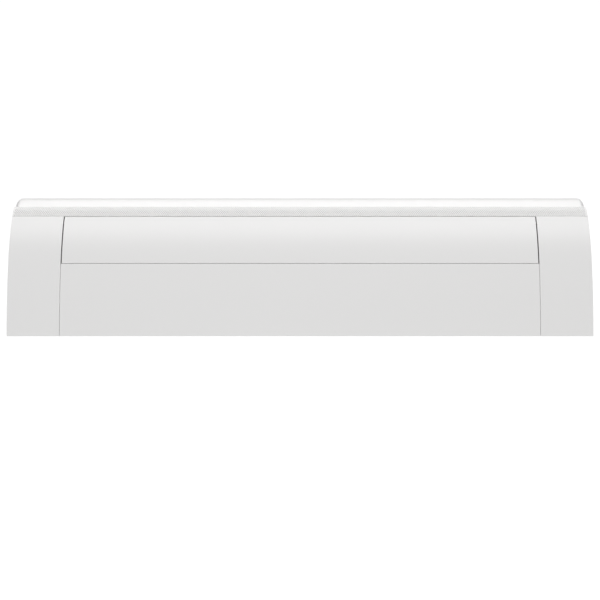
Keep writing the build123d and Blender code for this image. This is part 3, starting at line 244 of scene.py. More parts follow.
def make_surface_group():
    """Grain and drift: colour = base mixed with a tint by slow noise; gloss and bump by fine noise."""
    tree, start, end = group_tree(
        "moulded_surface",
        [
            ("Base", COLOUR, (0.8, 0.8, 0.8, 1.0)),
            ("Tint", COLOUR, (0.7, 0.7, 0.7, 1.0)),
            ("Drift Scale", FLOAT, 6.0),
            ("Drift", FLOAT, 0.3),
            ("Grain Scale", FLOAT, 1800.0),
            ("Grain Depth", FLOAT, 0.05),
            ("Roughness", FLOAT, 0.4),
            ("Roughness Spread", FLOAT, 0.06),
        ],
        [("Color", COLOUR), ("Roughness", FLOAT), ("Normal", VECTOR)],
    )
    link = tree.links.new
    place = add_node(tree, "ShaderNodeTexCoord")
    drift = add_node(tree, "ShaderNodeTexNoise", {"Detail": 3.0, "Roughness": 0.6})
    grain = add_node(tree, "ShaderNodeTexNoise", {"Detail": 2.0, "Roughness": 0.5})
    link(place.outputs["Object"], drift.inputs["Vector"])
    link(place.outputs["Object"], grain.inputs["Vector"])
    link(start.outputs["Drift Scale"], drift.inputs["Scale"])
    link(start.outputs["Grain Scale"], grain.inputs["Scale"])
    share = add_node(tree, "ShaderNodeMath", operation="MULTIPLY")
    link(drift.outputs["Fac"], share.inputs[0])
    link(start.outputs["Drift"], share.inputs[1])
    mix = add_node(tree, "ShaderNodeMix", data_type="RGBA")
    link(share.outputs[0], mix.inputs["Factor"])
    link(start.outputs["Base"], mix.inputs[6])
    link(start.outputs["Tint"], mix.inputs[7])
    link(mix.outputs[2], end.inputs["Color"])
    centred = add_node(tree, "ShaderNodeMath", {1: 0.5}, operation="SUBTRACT")
    link(grain.outputs["Fac"], centred.inputs[0])
    spread = add_node(tree, "ShaderNodeMath", operation="MULTIPLY_ADD")
    link(centred.outputs[0], spread.inputs[0])
    link(start.outputs["Roughness Spread"], spread.inputs[1])
    link(start.outputs["Roughness"], spread.inputs[2])
    link(spread.outputs[0], end.inputs["Roughness"])
    bump = add_node(tree, "ShaderNodeBump", {"Distance": 0.0002})
    link(start.outputs["Grain Depth"], bump.inputs["Strength"])
    link(grain.outputs["Fac"], bump.inputs["Height"])
    link(bump.outputs["Normal"], end.inputs["Normal"])
    return tree


def make_brushed_group():
    """Drawn or rolled metal: fine lines along one axis change the gloss, the colour and the relief."""
    tree, start, end = group_tree(
        "drawn_metal",
        [
            ("Base", COLOUR, (0.7, 0.7, 0.7, 1.0)),
            ("Tint", COLOUR, (0.5, 0.5, 0.5, 1.0)),
            ("Stretch", VECTOR, (1.0, 60.0, 60.0)),
            ("Scale", FLOAT, 30.0),
            ("Relief", FLOAT, 0.1),
            ("Roughness", FLOAT, 0.3),
            ("Roughness Spread", FLOAT, 0.2),
        ],
        [("Color", COLOUR), ("Roughness", FLOAT), ("Normal", VECTOR)],
    )
    link = tree.links.new
    place = add_node(tree, "ShaderNodeTexCoord")
    stretch = add_node(tree, "ShaderNodeVectorMath", operation="MULTIPLY")
    link(place.outputs["Object"], stretch.inputs[0])
    link(start.outputs["Stretch"], stretch.inputs[1])
    lines = add_node(tree, "ShaderNodeTexNoise", {"Detail": 4.0, "Roughness": 0.65})
    link(stretch.outputs[0], lines.inputs["Vector"])
    link(start.outputs["Scale"], lines.inputs["Scale"])
    mix = add_node(tree, "ShaderNodeMix", data_type="RGBA")
    link(lines.outputs["Fac"], mix.inputs["Factor"])
    link(start.outputs["Base"], mix.inputs[6])
    link(start.outputs["Tint"], mix.inputs[7])
    link(mix.outputs[2], end.inputs["Color"])
    spread = add_node(tree, "ShaderNodeMath", operation="MULTIPLY_ADD")
    link(lines.outputs["Fac"], spread.inputs[0])
    link(start.outputs["Roughness Spread"], spread.inputs[1])
    link(start.outputs["Roughness"], spread.inputs[2])
    link(spread.outputs[0], end.inputs["Roughness"])
    bump = add_node(tree, "ShaderNodeBump", {"Distance": 0.0001})
    link(start.outputs["Relief"], bump.inputs["Strength"])
    link(lines.outputs["Fac"], bump.inputs["Height"])
    link(bump.outputs["Normal"], end.inputs["Normal"])
    return tree


def make_spangle_group():
    """Hot-dip zinc: a jigsaw of crystals, each with its own grey, its own gloss and a thin rim."""
    tree, start, end = group_tree(
        "zinc_spangle",
        [
            ("Base", COLOUR, (0.7, 0.7, 0.7, 1.0)),
            ("Tint", COLOUR, (0.5, 0.5, 0.5, 1.0)),
            ("Crystals", FLOAT, 110.0),
            ("Ragged", FLOAT, 0.012),
            ("Roughness", FLOAT, 0.3),
            ("Roughness Spread", FLOAT, 0.2),
        ],
        [("Color", COLOUR), ("Roughness", FLOAT), ("Normal", VECTOR)],
    )
    link = tree.links.new
    place = add_node(tree, "ShaderNodeTexCoord")
    rag = add_node(tree, "ShaderNodeTexNoise", {"Scale": 160.0, "Detail": 3.0})
    link(place.outputs["Object"], rag.inputs["Vector"])
    push = add_node(tree, "ShaderNodeVectorMath", operation="SCALE")
    link(rag.outputs["Color"], push.inputs[0])
    link(start.outputs["Ragged"], push.inputs["Scale"])
    shifted = add_node(tree, "ShaderNodeVectorMath", operation="ADD")
    link(place.outputs["Object"], shifted.inputs[0])
    link(push.outputs[0], shifted.inputs[1])
    crystals = add_node(tree, "ShaderNodeTexVoronoi")
    link(shifted.outputs[0], crystals.inputs["Vector"])
    link(start.outputs["Crystals"], crystals.inputs["Scale"])
    parts = add_node(tree, "ShaderNodeSeparateColor")
    link(crystals.outputs["Color"], parts.inputs[0])
    mix = add_node(tree, "ShaderNodeMix", data_type="RGBA")
    link(parts.outputs[0], mix.inputs["Factor"])
    link(start.outputs["Base"], mix.inputs[6])
    link(start.outputs["Tint"], mix.inputs[7])
    link(mix.outputs[2], end.inputs["Color"])
    spread = add_node(tree, "ShaderNodeMath", operation="MULTIPLY_ADD")
    link(parts.outputs[1], spread.inputs[0])
    link(start.outputs["Roughness Spread"], spread.inputs[1])
    link(start.outputs["Roughness"], spread.inputs[2])
    link(spread.outputs[0], end.inputs["Roughness"])
    bump = add_node(tree, "ShaderNodeBump", {"Strength": 0.15, "Distance": 0.0001})
    link(crystals.outputs["Distance"], bump.inputs["Height"])
    link(bump.outputs["Normal"], end.inputs["Normal"])
    return tree


moulded_surface = make_surface_group()
drawn_metal = make_brushed_group()
zinc_spangle = make_spangle_group()


def finish(name, group, values, metallic=0.0, coat=0.0):
    """A material whose shader takes colour, roughness and normal from one of the groups."""
    material = bpy.data.materials.new(name)
    material.use_nodes = True
    tree = material.node_tree
    shader = tree.nodes["Principled BSDF"]
    shader.inputs["Metallic"].default_value = metallic
    shader.inputs["Coat Weight"].default_value = coat
    shader.inputs["Coat Roughness"].default_value = 0.25
    effect = tree.nodes.new("ShaderNodeGroup")
    effect.node_tree = group
    for key, value in values.items():
        effect.inputs[key].default_value = value
    tree.links.new(effect.outputs["Color"], shader.inputs["Base Color"])
    tree.links.new(effect.outputs["Roughness"], shader.inputs["Roughness"])
    tree.links.new(effect.outputs["Normal"], shader.inputs["Normal"])
    return material


def grey(level, warm=0.0):
    """A colour with an even level, a little warmer or cooler."""
    return (level * (1 + warm), level, level * (1 - warm), 1.0)


def plastic(name, base, tint, rough, grain=1800.0, depth=0.05, drift=0.3, coat=0.0):
    """A moulded finish: base colour, the tint it drifts to, its roughness and its grain."""
    values = {
        "Base": base,
        "Tint": tint,
        "Drift": drift,
        "Grain Scale": grain,
        "Grain Depth": depth,
        "Roughness": rough,
    }
    return finish(name, moulded_surface, values, coat=coat)


def metal(name, base, tint, rough, stretch, scale=30.0, relief=0.1):
    """A drawn or rolled metal: its two colours, its roughness and the way its lines run."""
    values = {
        "Base": base,
        "Tint": tint,
        "Roughness": rough,
        "Stretch": stretch,
        "Scale": scale,
        "Relief": relief,
    }
    return finish(name, drawn_metal, values, metallic=1.0)


# %% The finishes, by the record's material slots
zinc = {"Base": grey(0.64, -0.01), "Tint": grey(0.50, -0.02), "Roughness": 0.32}
finishes = {
    "white_shell": plastic(
        "satin_white_shell", grey(0.80, 0.004), grey(0.78, 0.01), 0.36, 2600.0, 0.035, coat=0.08
    ),
    "white_strip": plastic("satin_white_strip", grey(0.80, 0.004), grey(0.77, 0.01), 0.38, 2600.0, 0.035),
    "grey_moulding": plastic("grey_moulding", grey(0.50), grey(0.44), 0.5, 1500.0, 0.12),
    "dark_moulding": plastic("dark_moulding", grey(0.030), grey(0.045, 0.03), 0.48, 1400.0, 0.15),
    "fan_plastic": plastic("drum_plastic", grey(0.05, -0.03), grey(0.07), 0.42, 1200.0, 0.12),
    "white_acetal": plastic("white_acetal", grey(0.74, 0.02), grey(0.68, 0.04), 0.33, 900.0, 0.05),
    "black_rubber": plastic("black_rubber", grey(0.018), grey(0.03), 0.75, 900.0, 0.25),
    "component_black": plastic("component_black", grey(0.02), grey(0.03), 0.5, 1500.0, 0.2),
    "black_gland": plastic("gland_black", grey(0.022), grey(0.03), 0.4, 1200.0, 0.1),
    "terminal_green": plastic("terminal_green", (0.04, 0.22, 0.07, 1), (0.03, 0.16, 0.05, 1), 0.4),
    "circuit_laminate": plastic("circuit_laminate", (0.01, 0.11, 0.04, 1), (0.02, 0.07, 0.02, 1), 0.3),
    "filter_cloth": plastic("filter_net", grey(0.035, -0.05), grey(0.05), 0.6, 800.0, 0.2),
    "motor_shell": metal("motor_steel", grey(0.30), grey(0.22), 0.35, (60.0, 1.0, 1.0), 40.0),
    "galvanised_steel": finish("galvanised_sheet", zinc_spangle, zinc, metallic=1.0),
    "turned_steel": metal("turned_steel", grey(0.60), grey(0.50), 0.22, (80.0, 1.0, 1.0), 40.0),
    "zinc_screw": metal("zinc_plate", grey(0.62, 0.04), grey(0.5, 0.08), 0.25, (1.0, 1.0, 1.0), 200.0),
    "copper_pipe": metal(
        "drawn_copper", (0.72, 0.30, 0.17, 1), (0.55, 0.20, 0.11, 1), 0.22, (1.0, 40.0, 40.0), 20.0
    ),
    "brass_fitting": metal(
        "turned_brass", (0.70, 0.47, 0.16, 1), (0.55, 0.36, 0.12, 1), 0.24, (1.0, 1.0, 90.0), 20.0
    ),
    "fin_aluminium": metal("fin_foil", grey(0.72, -0.01), grey(0.60, -0.01), 0.3, (60.0, 1.0, 1.0), 20.0),
}
SHEET_GLOW = 0.56
studio_finish = plastic("studio_paper", grey(0.92), grey(0.91), 0.9, 400.0, 0.0)
studio_shader = studio_finish.node_tree.nodes["Principled BSDF"]
studio_shader.inputs["Emission Color"].default_value = (1.0, 1.0, 1.0, 1.0)
studio_shader.inputs["Emission Strength"].default_value = SHEET_GLOW
studio.data.materials.append(studio_finish)

slot_of = {row["node"]: row["material_slot"] for row in frame["record"]["subparts"]}
for node_name, node in nodes.items():
    material = finishes[slot_of[node_name]]
    node.data.materials.clear()
    node.data.materials.append(material)
print(len(nodes), "CAD nodes finished with", len(finishes), "materials")

# %% [markdown]
# ## The casing's end view
#
# All the outer shells follow one line in the end view: four round bends that run into each
# other without a corner, a short straight lip, and a flat deck.  A point of a bend is its centre
# plus its radius turned by the lean of the skin there, so every shell can be worked out from the
# same few numbers, at any depth under the skin.

# %% Profile of the casing
REACH, RISE = -float(cad_low[1]), float(cad_high[2])
FACE_LEAN, FLAP_LEAN, STRIP_LEAN = np.radians([12.5, 34.5, 56.5])
FLAP_RADIUS, STRIP_RADIUS, CROWN_RADIUS = 232.0 * MM, 66.5 * MM, 46.0 * MM
LIP_WIDTH = 17.0 * MM
lip_run = np.array([np.sin(STRIP_LEAN), np.cos(STRIP_LEAN)])
upper_rise = (
    FLAP_RADIUS * (np.sin(FLAP_LEAN) - np.sin(FACE_LEAN))
    + STRIP_RADIUS * (np.sin(STRIP_LEAN) - np.sin(FLAP_LEAN))
    + LIP_WIDTH * lip_run[1]
    + CROWN_RADIUS * (1 - np.sin(STRIP_LEAN))
)
FACE_RADIUS = (RISE - upper_rise) / np.sin(FACE_LEAN)


def outward(lean):
    """The unit direction out of the skin: minus cosine of the lean in Y, sine of it in Z."""
    return np.stack([-np.cos(lean), np.sin(lean)], axis=-1)


face_centre = np.array([FACE_RADIUS - REACH, 0.0])
brow_centre = face_centre + (FACE_RADIUS - FLAP_RADIUS) * outward(FACE_LEAN)
shoulder_centre = brow_centre + (FLAP_RADIUS - STRIP_RADIUS) * outward(FLAP_LEAN)
lip_start = shoulder_centre + STRIP_RADIUS * outward(STRIP_LEAN)
crown_centre = lip_start + LIP_WIDTH * lip_run - CROWN_RADIUS * outward(STRIP_LEAN)


def bend(centre, radius, start, end, steps, depth=0.0):
    """Points round a centre at radius minus depth, between two leans, as Y and Z."""
    lean = np.linspace(start, end, steps)
    return centre + (radius - depth) * outward(lean)


print("face radius", round(FACE_RADIUS, 4), "lip starts at", np.round(lip_start, 4))

# %% [markdown]
# ## Straight mouldings
#
# The lower panel and the flap's skin have the same section from end to end, so each is a closed
# section line carried along X, with a flat cap at both ends.  A small bevel then rounds every
# edge by a fraction of a millimetre, as a mould does, so that the edges catch the light.


# %% Closed sections and soft edges
def carried_section(name, section, stations):
    """A closed line of Y, Z points repeated at each X station, joined by quads and capped."""
    count, ring = len(stations), len(section)
    points = np.empty((count, ring, 3))
    points[..., 0] = np.asarray(stations)[:, None]
    points[..., 1:] = section[None]
    index = np.arange(count * ring).reshape(count, ring)
    ahead = np.roll(index, -1, axis=1)
    quads = np.stack([index[:-1], ahead[:-1], ahead[1:], index[1:]], axis=-1).reshape(-1, 4)
    faces = [*quads.tolist(), index[0][::-1].tolist(), index[-1].tolist()]
    return face_list_object(name, points.reshape(-1, 3), faces)


def face_list_object(name, points, faces):
    """A mesh from an array of points and a list of faces of any length, turned outwards."""
    mesh = bpy.data.meshes.new(name)
    mesh.from_pydata(np.asarray(points).tolist(), [], faces)
    shape = bmesh.new()
    shape.from_mesh(mesh)
    bmesh.ops.remove_doubles(shape, verts=shape.verts, dist=1e-6)
    bmesh.ops.recalc_face_normals(shape, faces=shape.faces)
    shape.to_mesh(mesh)
    shape.free()
    mesh.polygons.foreach_set("use_smooth", np.ones(len(mesh.polygons), bool))
    obj = bpy.data.objects.new(name, mesh)
    bpy.context.scene.collection.objects.link(obj)
    return obj


def soft_edges(obj, width, segments=2):
    """Round every sharp edge by a small width, and keep flat faces flat to the light."""
    obj.data.set_sharp_from_angle(angle=np.radians(28))
    rounding = obj.modifiers.new("soft_edges", "BEVEL")
    rounding.width = width
    rounding.segments = segments
    rounding.limit_method = "ANGLE"
    rounding.angle_limit = np.radians(28)
    rounding.harden_normals = True
    return obj


def stand_in(obj, body, slot, *replaced):
    """Let a new piece ride on a body, take a slot's finish and stand for its CAD nodes."""
    obj.data.materials.clear()
    obj.data.materials.append(finishes[slot])
    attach(obj, body)
    if replaced:
        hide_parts(*replaced)
    mesh_size = (len(obj.data.vertices), len(obj.data.polygons))
    print(f"{obj.name}: {mesh_size[0]} points, {mesh_size[1]} faces, rides on {body}")
    return obj


# %% [markdown]
# ## Lower panel
#
# The panel is a 2.5 mm wall that bulges very slightly.  Its upper edge turns inwards under the
# flap, and its lower edge turns back to meet the grille, so its section is a long thin C.

# %% Lower panel
SKIN = 2.5 * MM
EDGE_GAP = 1.4 * MM
PANEL_DROP, FLAP_DROP = 1.1 * MM, 0.4 * MM
PANEL_RETURN_TOP = 9.0 * MM
PANEL_RETURN_FOOT = 12.0 * MM
panel_low, panel_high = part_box("front_panel")
panel_lean = FACE_LEAN - PANEL_DROP / FACE_RADIUS
inner_lean = panel_lean - SKIN / FACE_RADIUS
foot_lean = np.arcsin(SKIN / (FACE_RADIUS - SKIN))
panel_section = np.concatenate(
    [
        bend(face_centre, FACE_RADIUS, 0.0, panel_lean, 40),
        bend(face_centre, FACE_RADIUS, panel_lean, panel_lean, 1, PANEL_RETURN_TOP),
        bend(face_centre, FACE_RADIUS, inner_lean, inner_lean, 1, PANEL_RETURN_TOP),
        bend(face_centre, FACE_RADIUS, inner_lean, foot_lean, 40, SKIN),
        [[PANEL_RETURN_FOOT - REACH, SKIN], [PANEL_RETURN_FOOT - REACH, 0.0]],
    ]
)
front_panel = carried_section(
    "lower_panel_shell", panel_section, np.linspace(panel_low[0], panel_high[0], 9)
)
soft_edges(front_panel, 0.35 * MM)
stand_in(front_panel, "casing", "white_shell", "front_panel")

# %% [markdown]
# ## Flap skin
#
# The flap's skin is a curved strip of the same thickness.  It sits in the casing's curve when it
# is shut, with a hair gap all round, and it is the part that a person sees move.

# %% Flap skin
flap_low, flap_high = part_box("flap_skin")
flap_from = FACE_LEAN - FLAP_DROP / FLAP_RADIUS
flap_to = FLAP_LEAN - EDGE_GAP / 2 / FLAP_RADIUS
flap_section = np.concatenate(
    [
        bend(brow_centre, FLAP_RADIUS, flap_from, flap_to, 36),
        bend(brow_centre, FLAP_RADIUS, flap_to, flap_from, 36, SKIN),
    ]
)
flap_shell = carried_section(
    "flap_shell", flap_section, np.linspace(flap_low[0], flap_high[0], 9)
)
soft_edges(flap_shell, 0.7 * MM, 3)
stand_in(flap_shell, "flap", "white_shell", "flap_skin")

# %% [markdown]
# ## End covers
#
# An end cover is one thin wall that wraps the front, the floor and the end, open at the back and
# at the top, where the strip and the top cover close it.  It is made as a sheet on the outside:
# a grid that runs along the floor and up the front, and a flat end wall that shares its last
# row.  Solidify then gives the sheet its thickness inwards.  The openings in the floor are rings
# of faces that fit a block of the grid to the outline of the hole.

# %% End covers
STRIP_SEAT = 2.2 * MM
SEAM = 0.4 * MM
COVER_REAR = 1.0 * MM
cover_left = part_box("left_end_cover")
cover_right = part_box("right_end_cover")
gland_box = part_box("cable_gland")
button_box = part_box("mode_button")
union_boxes = (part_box("return_union"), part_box("supply_union"))
FLOOR_ROWS, COVER_COLUMNS = 48, 24
ENTRY_SIZE = (46.0 * MM, 90.0 * MM)
ENTRY_CORNER = 12.0 * MM


def middle_of(*boxes):
    """The middle in X and Y of one box or of the space between several."""
    lows = np.min([np.array(box[0]) for box in boxes], axis=0)
    highs = np.max([np.array(box[1]) for box in boxes], axis=0)
    return ((lows + highs) / 2)[:2]


def round_outline(directions, radius):
    """Where rays from the middle meet a circle: the unit ray times the radius."""
    return directions / np.linalg.norm(directions, axis=1, keepdims=True) * radius


def slot_outline(directions, size, corner):
    """Where rays meet a rounded rectangle: scaled to the sides, then pulled in at corners."""
    half = np.array(size) / 2
    scale = np.min(half / np.maximum(np.abs(directions), 1e-9), axis=1, keepdims=True)
    points = directions * scale
    past = np.maximum(np.abs(points) - (half - corner), 0.0)
    length = np.linalg.norm(past, axis=1, keepdims=True)
    both = np.all(past > 0, axis=1, keepdims=True)
    pulled = np.sign(points) * (half - corner + past / np.maximum(length, 1e-9) * corner)
    return np.where(both, pulled, points)


def cover_sheet(name, side, seam_x, end_x, holes):
    """The outside of an end cover: a grid over floor and front, holes, and the end wall."""
    rows = [
        np.stack([np.linspace(-COVER_REAR, -REACH, FLOOR_ROWS), np.zeros(FLOOR_ROWS)], axis=-1),
        bend(face_centre, FACE_RADIUS, 0.0, FACE_LEAN, 26)[1:],
        bend(brow_centre, FLAP_RADIUS, FACE_LEAN, FLAP_LEAN, 26)[1:],
        bend(shoulder_centre, STRIP_RADIUS, FLAP_LEAN, STRIP_LEAN, 12, STRIP_SEAT),
    ]
    path = np.concatenate(rows)
    path[-1, 1] = lip_start[1] - SEAM
    xs = np.linspace(seam_x, end_x, COVER_COLUMNS)
    points = np.empty((len(path), len(xs), 3))
    points[..., 0] = xs[None]
    points[..., 1:] = path[:, None]
    index = np.arange(points.shape[0] * points.shape[1]).reshape(points.shape[:2])
    cells = np.stack([index[:-1, :-1], index[1:, :-1], index[1:, 1:], index[:-1, 1:]], axis=-1)
    keep = np.ones(cells.shape[:2], bool)
    extra_points, extra_faces, used = [], [], points.shape[0] * points.shape[1]
    for centre, reach, outline in holes:
        i0 = np.searchsorted(-path[:FLOOR_ROWS, 0], -(centre[1] + reach[1])) - 1
        i1 = np.searchsorted(-path[:FLOOR_ROWS, 0], -(centre[1] - reach[1]))
        along = np.abs(xs - centre[0]) < reach[0]
        j0, j1 = np.flatnonzero(along)[0] - 1, np.flatnonzero(along)[-1] + 1
        keep[i0:i1, j0:j1] = False
        rim = np.concatenate(
            [index[i0, j0:j1], index[i0:i1, j1], index[i1, j1:j0:-1], index[i1:i0:-1, j0]]
        )
        spots = points.reshape(-1, 3)[rim, :2] - centre
        inner = np.zeros((len(rim), 3))
        inner[:, :2] = outline(spots) + centre
        extra_points.append(inner)
        ring = used + np.arange(len(rim))
        used += len(rim)
        quads = np.stack([rim, np.roll(rim, -1), np.roll(ring, -1), ring], axis=-1)
        extra_faces += quads.tolist()
    every = np.concatenate([points.reshape(-1, 3), *extra_points])
    corner = [[end_x, -COVER_REAR, lip_start[1] - SEAM]]
    wall = [*index[:, -1].tolist(), len(every)]
    faces = [*cells[keep].tolist(), *extra_faces, wall]
    sheet = face_list_object(name, np.concatenate([every, corner]), faces)
    sheet.data.update()
    normal = np.array([p.normal for p in sheet.data.polygons if len(p.vertices) > 40][0])
    if normal[0] * side < 0:
        sheet.data.flip_normals()
    thick = sheet.modifiers.new("wall", "SOLIDIFY")
    thick.thickness = SKIN
    thick.offset = -1.0
    thick.use_even_offset = True
    return soft_edges(sheet, 0.5 * MM)


entry = (
    middle_of(*union_boxes),
    (ENTRY_SIZE[0] / 2, ENTRY_SIZE[1] / 2),
    lambda spots: slot_outline(spots, ENTRY_SIZE, ENTRY_CORNER),
)
left_cover = cover_sheet(
    "left_cover_shell", -1, cover_left[1][0], cover_left[0][0], [entry]
)
stand_in(left_cover, "casing", "white_shell", "left_end_cover")
GLAND_HOLE, BUTTON_HOLE = 12.0 * MM, 5.3 * MM
gland_hole = (middle_of(gland_box), (GLAND_HOLE,) * 2, lambda s: round_outline(s, GLAND_HOLE))
button_hole = (middle_of(button_box), (BUTTON_HOLE,) * 2, lambda s: round_outline(s, BUTTON_HOLE))
right_cover = cover_sheet(
    "right_cover_shell", 1, cover_right[0][0], cover_right[1][0], [gland_hole, button_hole]
)
stand_in(right_cover, "casing", "white_shell", "right_end_cover")

# %% [markdown]
# ## Top cover
#
# The top cover carries the lip, the crown and the deck in one moulding, with ends that roll over
# in a 10 mm round.  The round is the section line drawn at a growing depth: as the surface turns
# by an angle, X goes out by the radius times its sine and the depth grows by the radius times one
# minus its cosine.  Where the depth grows, the lip still starts at the same height.

# %% Top cover
END_ROUND = 10.0 * MM
cover_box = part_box("top_cover")


def crest_line(depth):
    """Lip, crown and deck at a depth under the skin, from the strip to the wall, as Y and Z."""
    skipped = depth * np.sin(STRIP_LEAN) / np.cos(STRIP_LEAN)
    start = lip_start - depth * outward(STRIP_LEAN)
    lip = start + np.linspace(skipped, LIP_WIDTH, 7)[:, None] * lip_run
    round_part = bend(crown_centre, CROWN_RADIUS, STRIP_LEAN, np.pi / 2, 26, depth)[1:]
    deck_y = np.linspace(crown_centre[0], -COVER_REAR, 12)[1:]
    deck = np.stack([deck_y, np.full(len(deck_y), RISE - depth)], axis=-1)
    return np.concatenate([lip, round_part, deck])


turn = np.linspace(0.0, np.pi / 2, 10)
roll_x = cover_box[1][0] - END_ROUND + END_ROUND * np.sin(turn)
roll_depth = END_ROUND * (1 - np.cos(turn))
straight = np.linspace(-roll_x[0], roll_x[0], 12)[1:-1]
cover_x = np.concatenate([-roll_x[::-1], straight, roll_x])
cover_depth = np.concatenate([roll_depth[::-1], np.zeros(len(straight)), roll_depth])
crest = np.stack([crest_line(depth) for depth in cover_depth], axis=1)
crest_points = np.concatenate([np.broadcast_to(cover_x[:, None], crest.shape[:2] + (1,)), crest], 2)
rows, cols = crest_points.shape[:2]
index = np.arange(rows * cols).reshape(rows, cols)
cells = np.stack([index[:-1, :-1], index[1:, :-1], index[1:, 1:], index[:-1, 1:]], axis=-1)
feet = [[x, -COVER_REAR, lip_start[1]] for x in (cover_x[0], cover_x[-1])]
end_walls = [[*index[:, 0].tolist(), rows * cols], [*index[:, -1].tolist(), rows * cols + 1]]
top_shell = face_list_object(
    "top_cover_shell",
    np.concatenate([crest_points.reshape(-1, 3), feet]),
    [*cells.reshape(-1, 4).tolist(), *end_walls],
)
if np.mean([p.normal.z for p in top_shell.data.polygons]) < 0:
    top_shell.data.flip_normals()
thick = top_shell.modifiers.new("wall", "SOLIDIFY")
thick.thickness = SKIN
thick.offset = -1.0
soft_edges(top_shell, 0.4 * MM)
stand_in(top_shell, "casing", "white_shell", "top_cover")

# %% [markdown]
# ## Perforated strip
#
# Between the flap and the lip runs a thin strip with about two thousand fine holes, set in
# staggered rows, almost like a honeycomb.  One hole is a small tile: a rectangle with points at its
# corners and the middles of its long sides, an eight-sided hole in it, and the wall of the hole.
# The tile is drawn once, in distance along the strip and distance up it, repeated as an array,
# and then bent round the shoulder, so the whole strip is one mesh.

# %% Perforated strip
STRIP_WALL = 2.0 * MM
HOLE_PITCH, ROW_PITCH = 3.63 * MM, 3.03 * MM
HOLE_ROWS = 8
HOLE_SIZE = 0.9 * MM
strip_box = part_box("perforated_strip")
strip_from = FLAP_LEAN + EDGE_GAP / 4 / STRIP_RADIUS
strip_height = STRIP_RADIUS * (STRIP_LEAN - strip_from)
plain_edge = (strip_height - HOLE_ROWS * ROW_PITCH) / 2
strip_length = strip_box[1][0] - strip_box[0][0]
hole_count = int(strip_length / HOLE_PITCH) - 1
strip_start = strip_box[0][0] + (strip_length - (hole_count - 0.5) * HOLE_PITCH) / 2

rim = np.array([[-0.5, -0.5], [0, -0.5], [0.5, -0.5], [0.5, 0], [0.5, 0.5], [0, 0.5], [-0.5, 0.5], [-0.5, 0]])
compass = np.arctan2(rim[:, 1], rim[:, 0])
hole = np.stack([np.cos(compass), np.sin(compass)], axis=-1) * HOLE_SIZE
tile_rim = rim * [HOLE_PITCH, ROW_PITCH]
flat = np.concatenate([tile_rim, hole])
tile = np.concatenate(
    [np.column_stack([flat, np.zeros(16)]), np.column_stack([flat, np.full(16, STRIP_WALL)])]
)
ring = np.arange(8)
after = (ring + 1) % 8
tile_faces = np.concatenate(
    [
        np.stack([ring, after, after + 8, ring + 8], axis=-1),
        np.stack([ring + 8, after + 8, after + 24, ring + 24], axis=-1),
        np.stack([ring + 24, after + 24, after + 16, ring + 16], axis=-1),
    ]
)
column, row = np.meshgrid(np.arange(hole_count), np.arange(HOLE_ROWS))
shift = np.where(row % 2 == 0, 0.0, 0.5) * HOLE_PITCH
place_x = strip_start + (column * HOLE_PITCH + shift)
place_s = plain_edge + (row + 0.5) * ROW_PITCH
tiles = np.zeros((row.size, 32, 3)) + tile
tiles[..., 0] += place_x.ravel()[:, None]
tiles[..., 1] += place_s.ravel()[:, None]
faces = (tile_faces[None] + 32 * np.arange(row.size)[:, None, None]).reshape(-1, 4)
half = HOLE_PITCH / 2
edge_x = strip_start - half + half * np.arange(2 * hole_count + 2)
grid_x = np.concatenate([[strip_box[0][0]], edge_x, [strip_box[1][0]]])
edge_s = plain_edge + ROW_PITCH / 2 * np.arange(2 * HOLE_ROWS + 1)
grid_s = np.concatenate([[0.0], edge_s, [strip_height]])
plain = np.ones((len(grid_s) - 1, len(grid_x) - 1), bool)
for j in range(HOLE_ROWS):
    first = 1 + j % 2
    plain[1 + 2 * j : 3 + 2 * j, first : first + 2 * hole_count] = False
sheet_s, sheet_x = np.meshgrid(grid_s, grid_x, indexing="ij")
layers = np.stack(
    [np.stack([sheet_x, sheet_s, np.full_like(sheet_x, d)], axis=-1) for d in (0.0, STRIP_WALL)]
)
index = len(tiles) * 32 + np.arange(layers[..., 0].size).reshape(layers.shape[:3])


def grid_cells(numbers):
    """The four corner numbers of every cell of a grid of point numbers."""
    return np.stack([numbers[:-1, :-1], numbers[:-1, 1:], numbers[1:, 1:], numbers[1:, :-1]], -1)


rims = [index[:, 0, :], index[:, -1, :], index[:, :, 0], index[:, :, -1]]
strip_faces = np.concatenate(
    [faces, grid_cells(index[0])[plain], grid_cells(index[1])[plain]]
    + [grid_cells(rim_numbers).reshape(-1, 4) for rim_numbers in rims]
)
flat_points = np.concatenate([tiles.reshape(-1, 3), layers.reshape(-1, 3)])
lean = strip_from + flat_points[:, 1] / STRIP_RADIUS
bent = shoulder_centre + (STRIP_RADIUS - flat_points[:, 2])[:, None] * outward(lean)
strip_points = np.column_stack([flat_points[:, 0], bent])
strip_shell = face_list_object("strip_with_holes", strip_points, strip_faces.tolist())
strip_shell.data.set_sharp_from_angle(angle=np.radians(40))
stand_in(strip_shell, "casing", "white_strip", "perforated_strip")
print("holes in the strip:", row.size)

# %% [markdown]
# ## Drum fan
#
# Behind the flap turns a drum of thin blades, held by a ring every hundred millimetres.  A blade
# is a crescent: its middle line leans more and more as it goes outwards, and its thickness is
# largest half way.  All blades of all bays are one array of the same crescent, turned by equal
# angles and skewed a little along the bay, which is what keeps such a fan quiet.

# %% Drum fan
fan_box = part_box("fan_rotor")
fan_centre = np.array([(fan_box[0][i] + fan_box[1][i]) / 2 for i in (1, 2)])
FAN_RADIUS = (fan_box[1][2] - fan_box[0][2]) / 2
BLADES, BAYS = 34, 8
BLADE_INNER, BLADE_LEAN, BLADE_SKEW = 32.8 * MM, 0.20, 0.07
RING_WALL, HUB_RADIUS, HUB_LENGTH, BORE = 2.0 * MM, 10.0 * MM, 18.0 * MM, 4.0 * MM


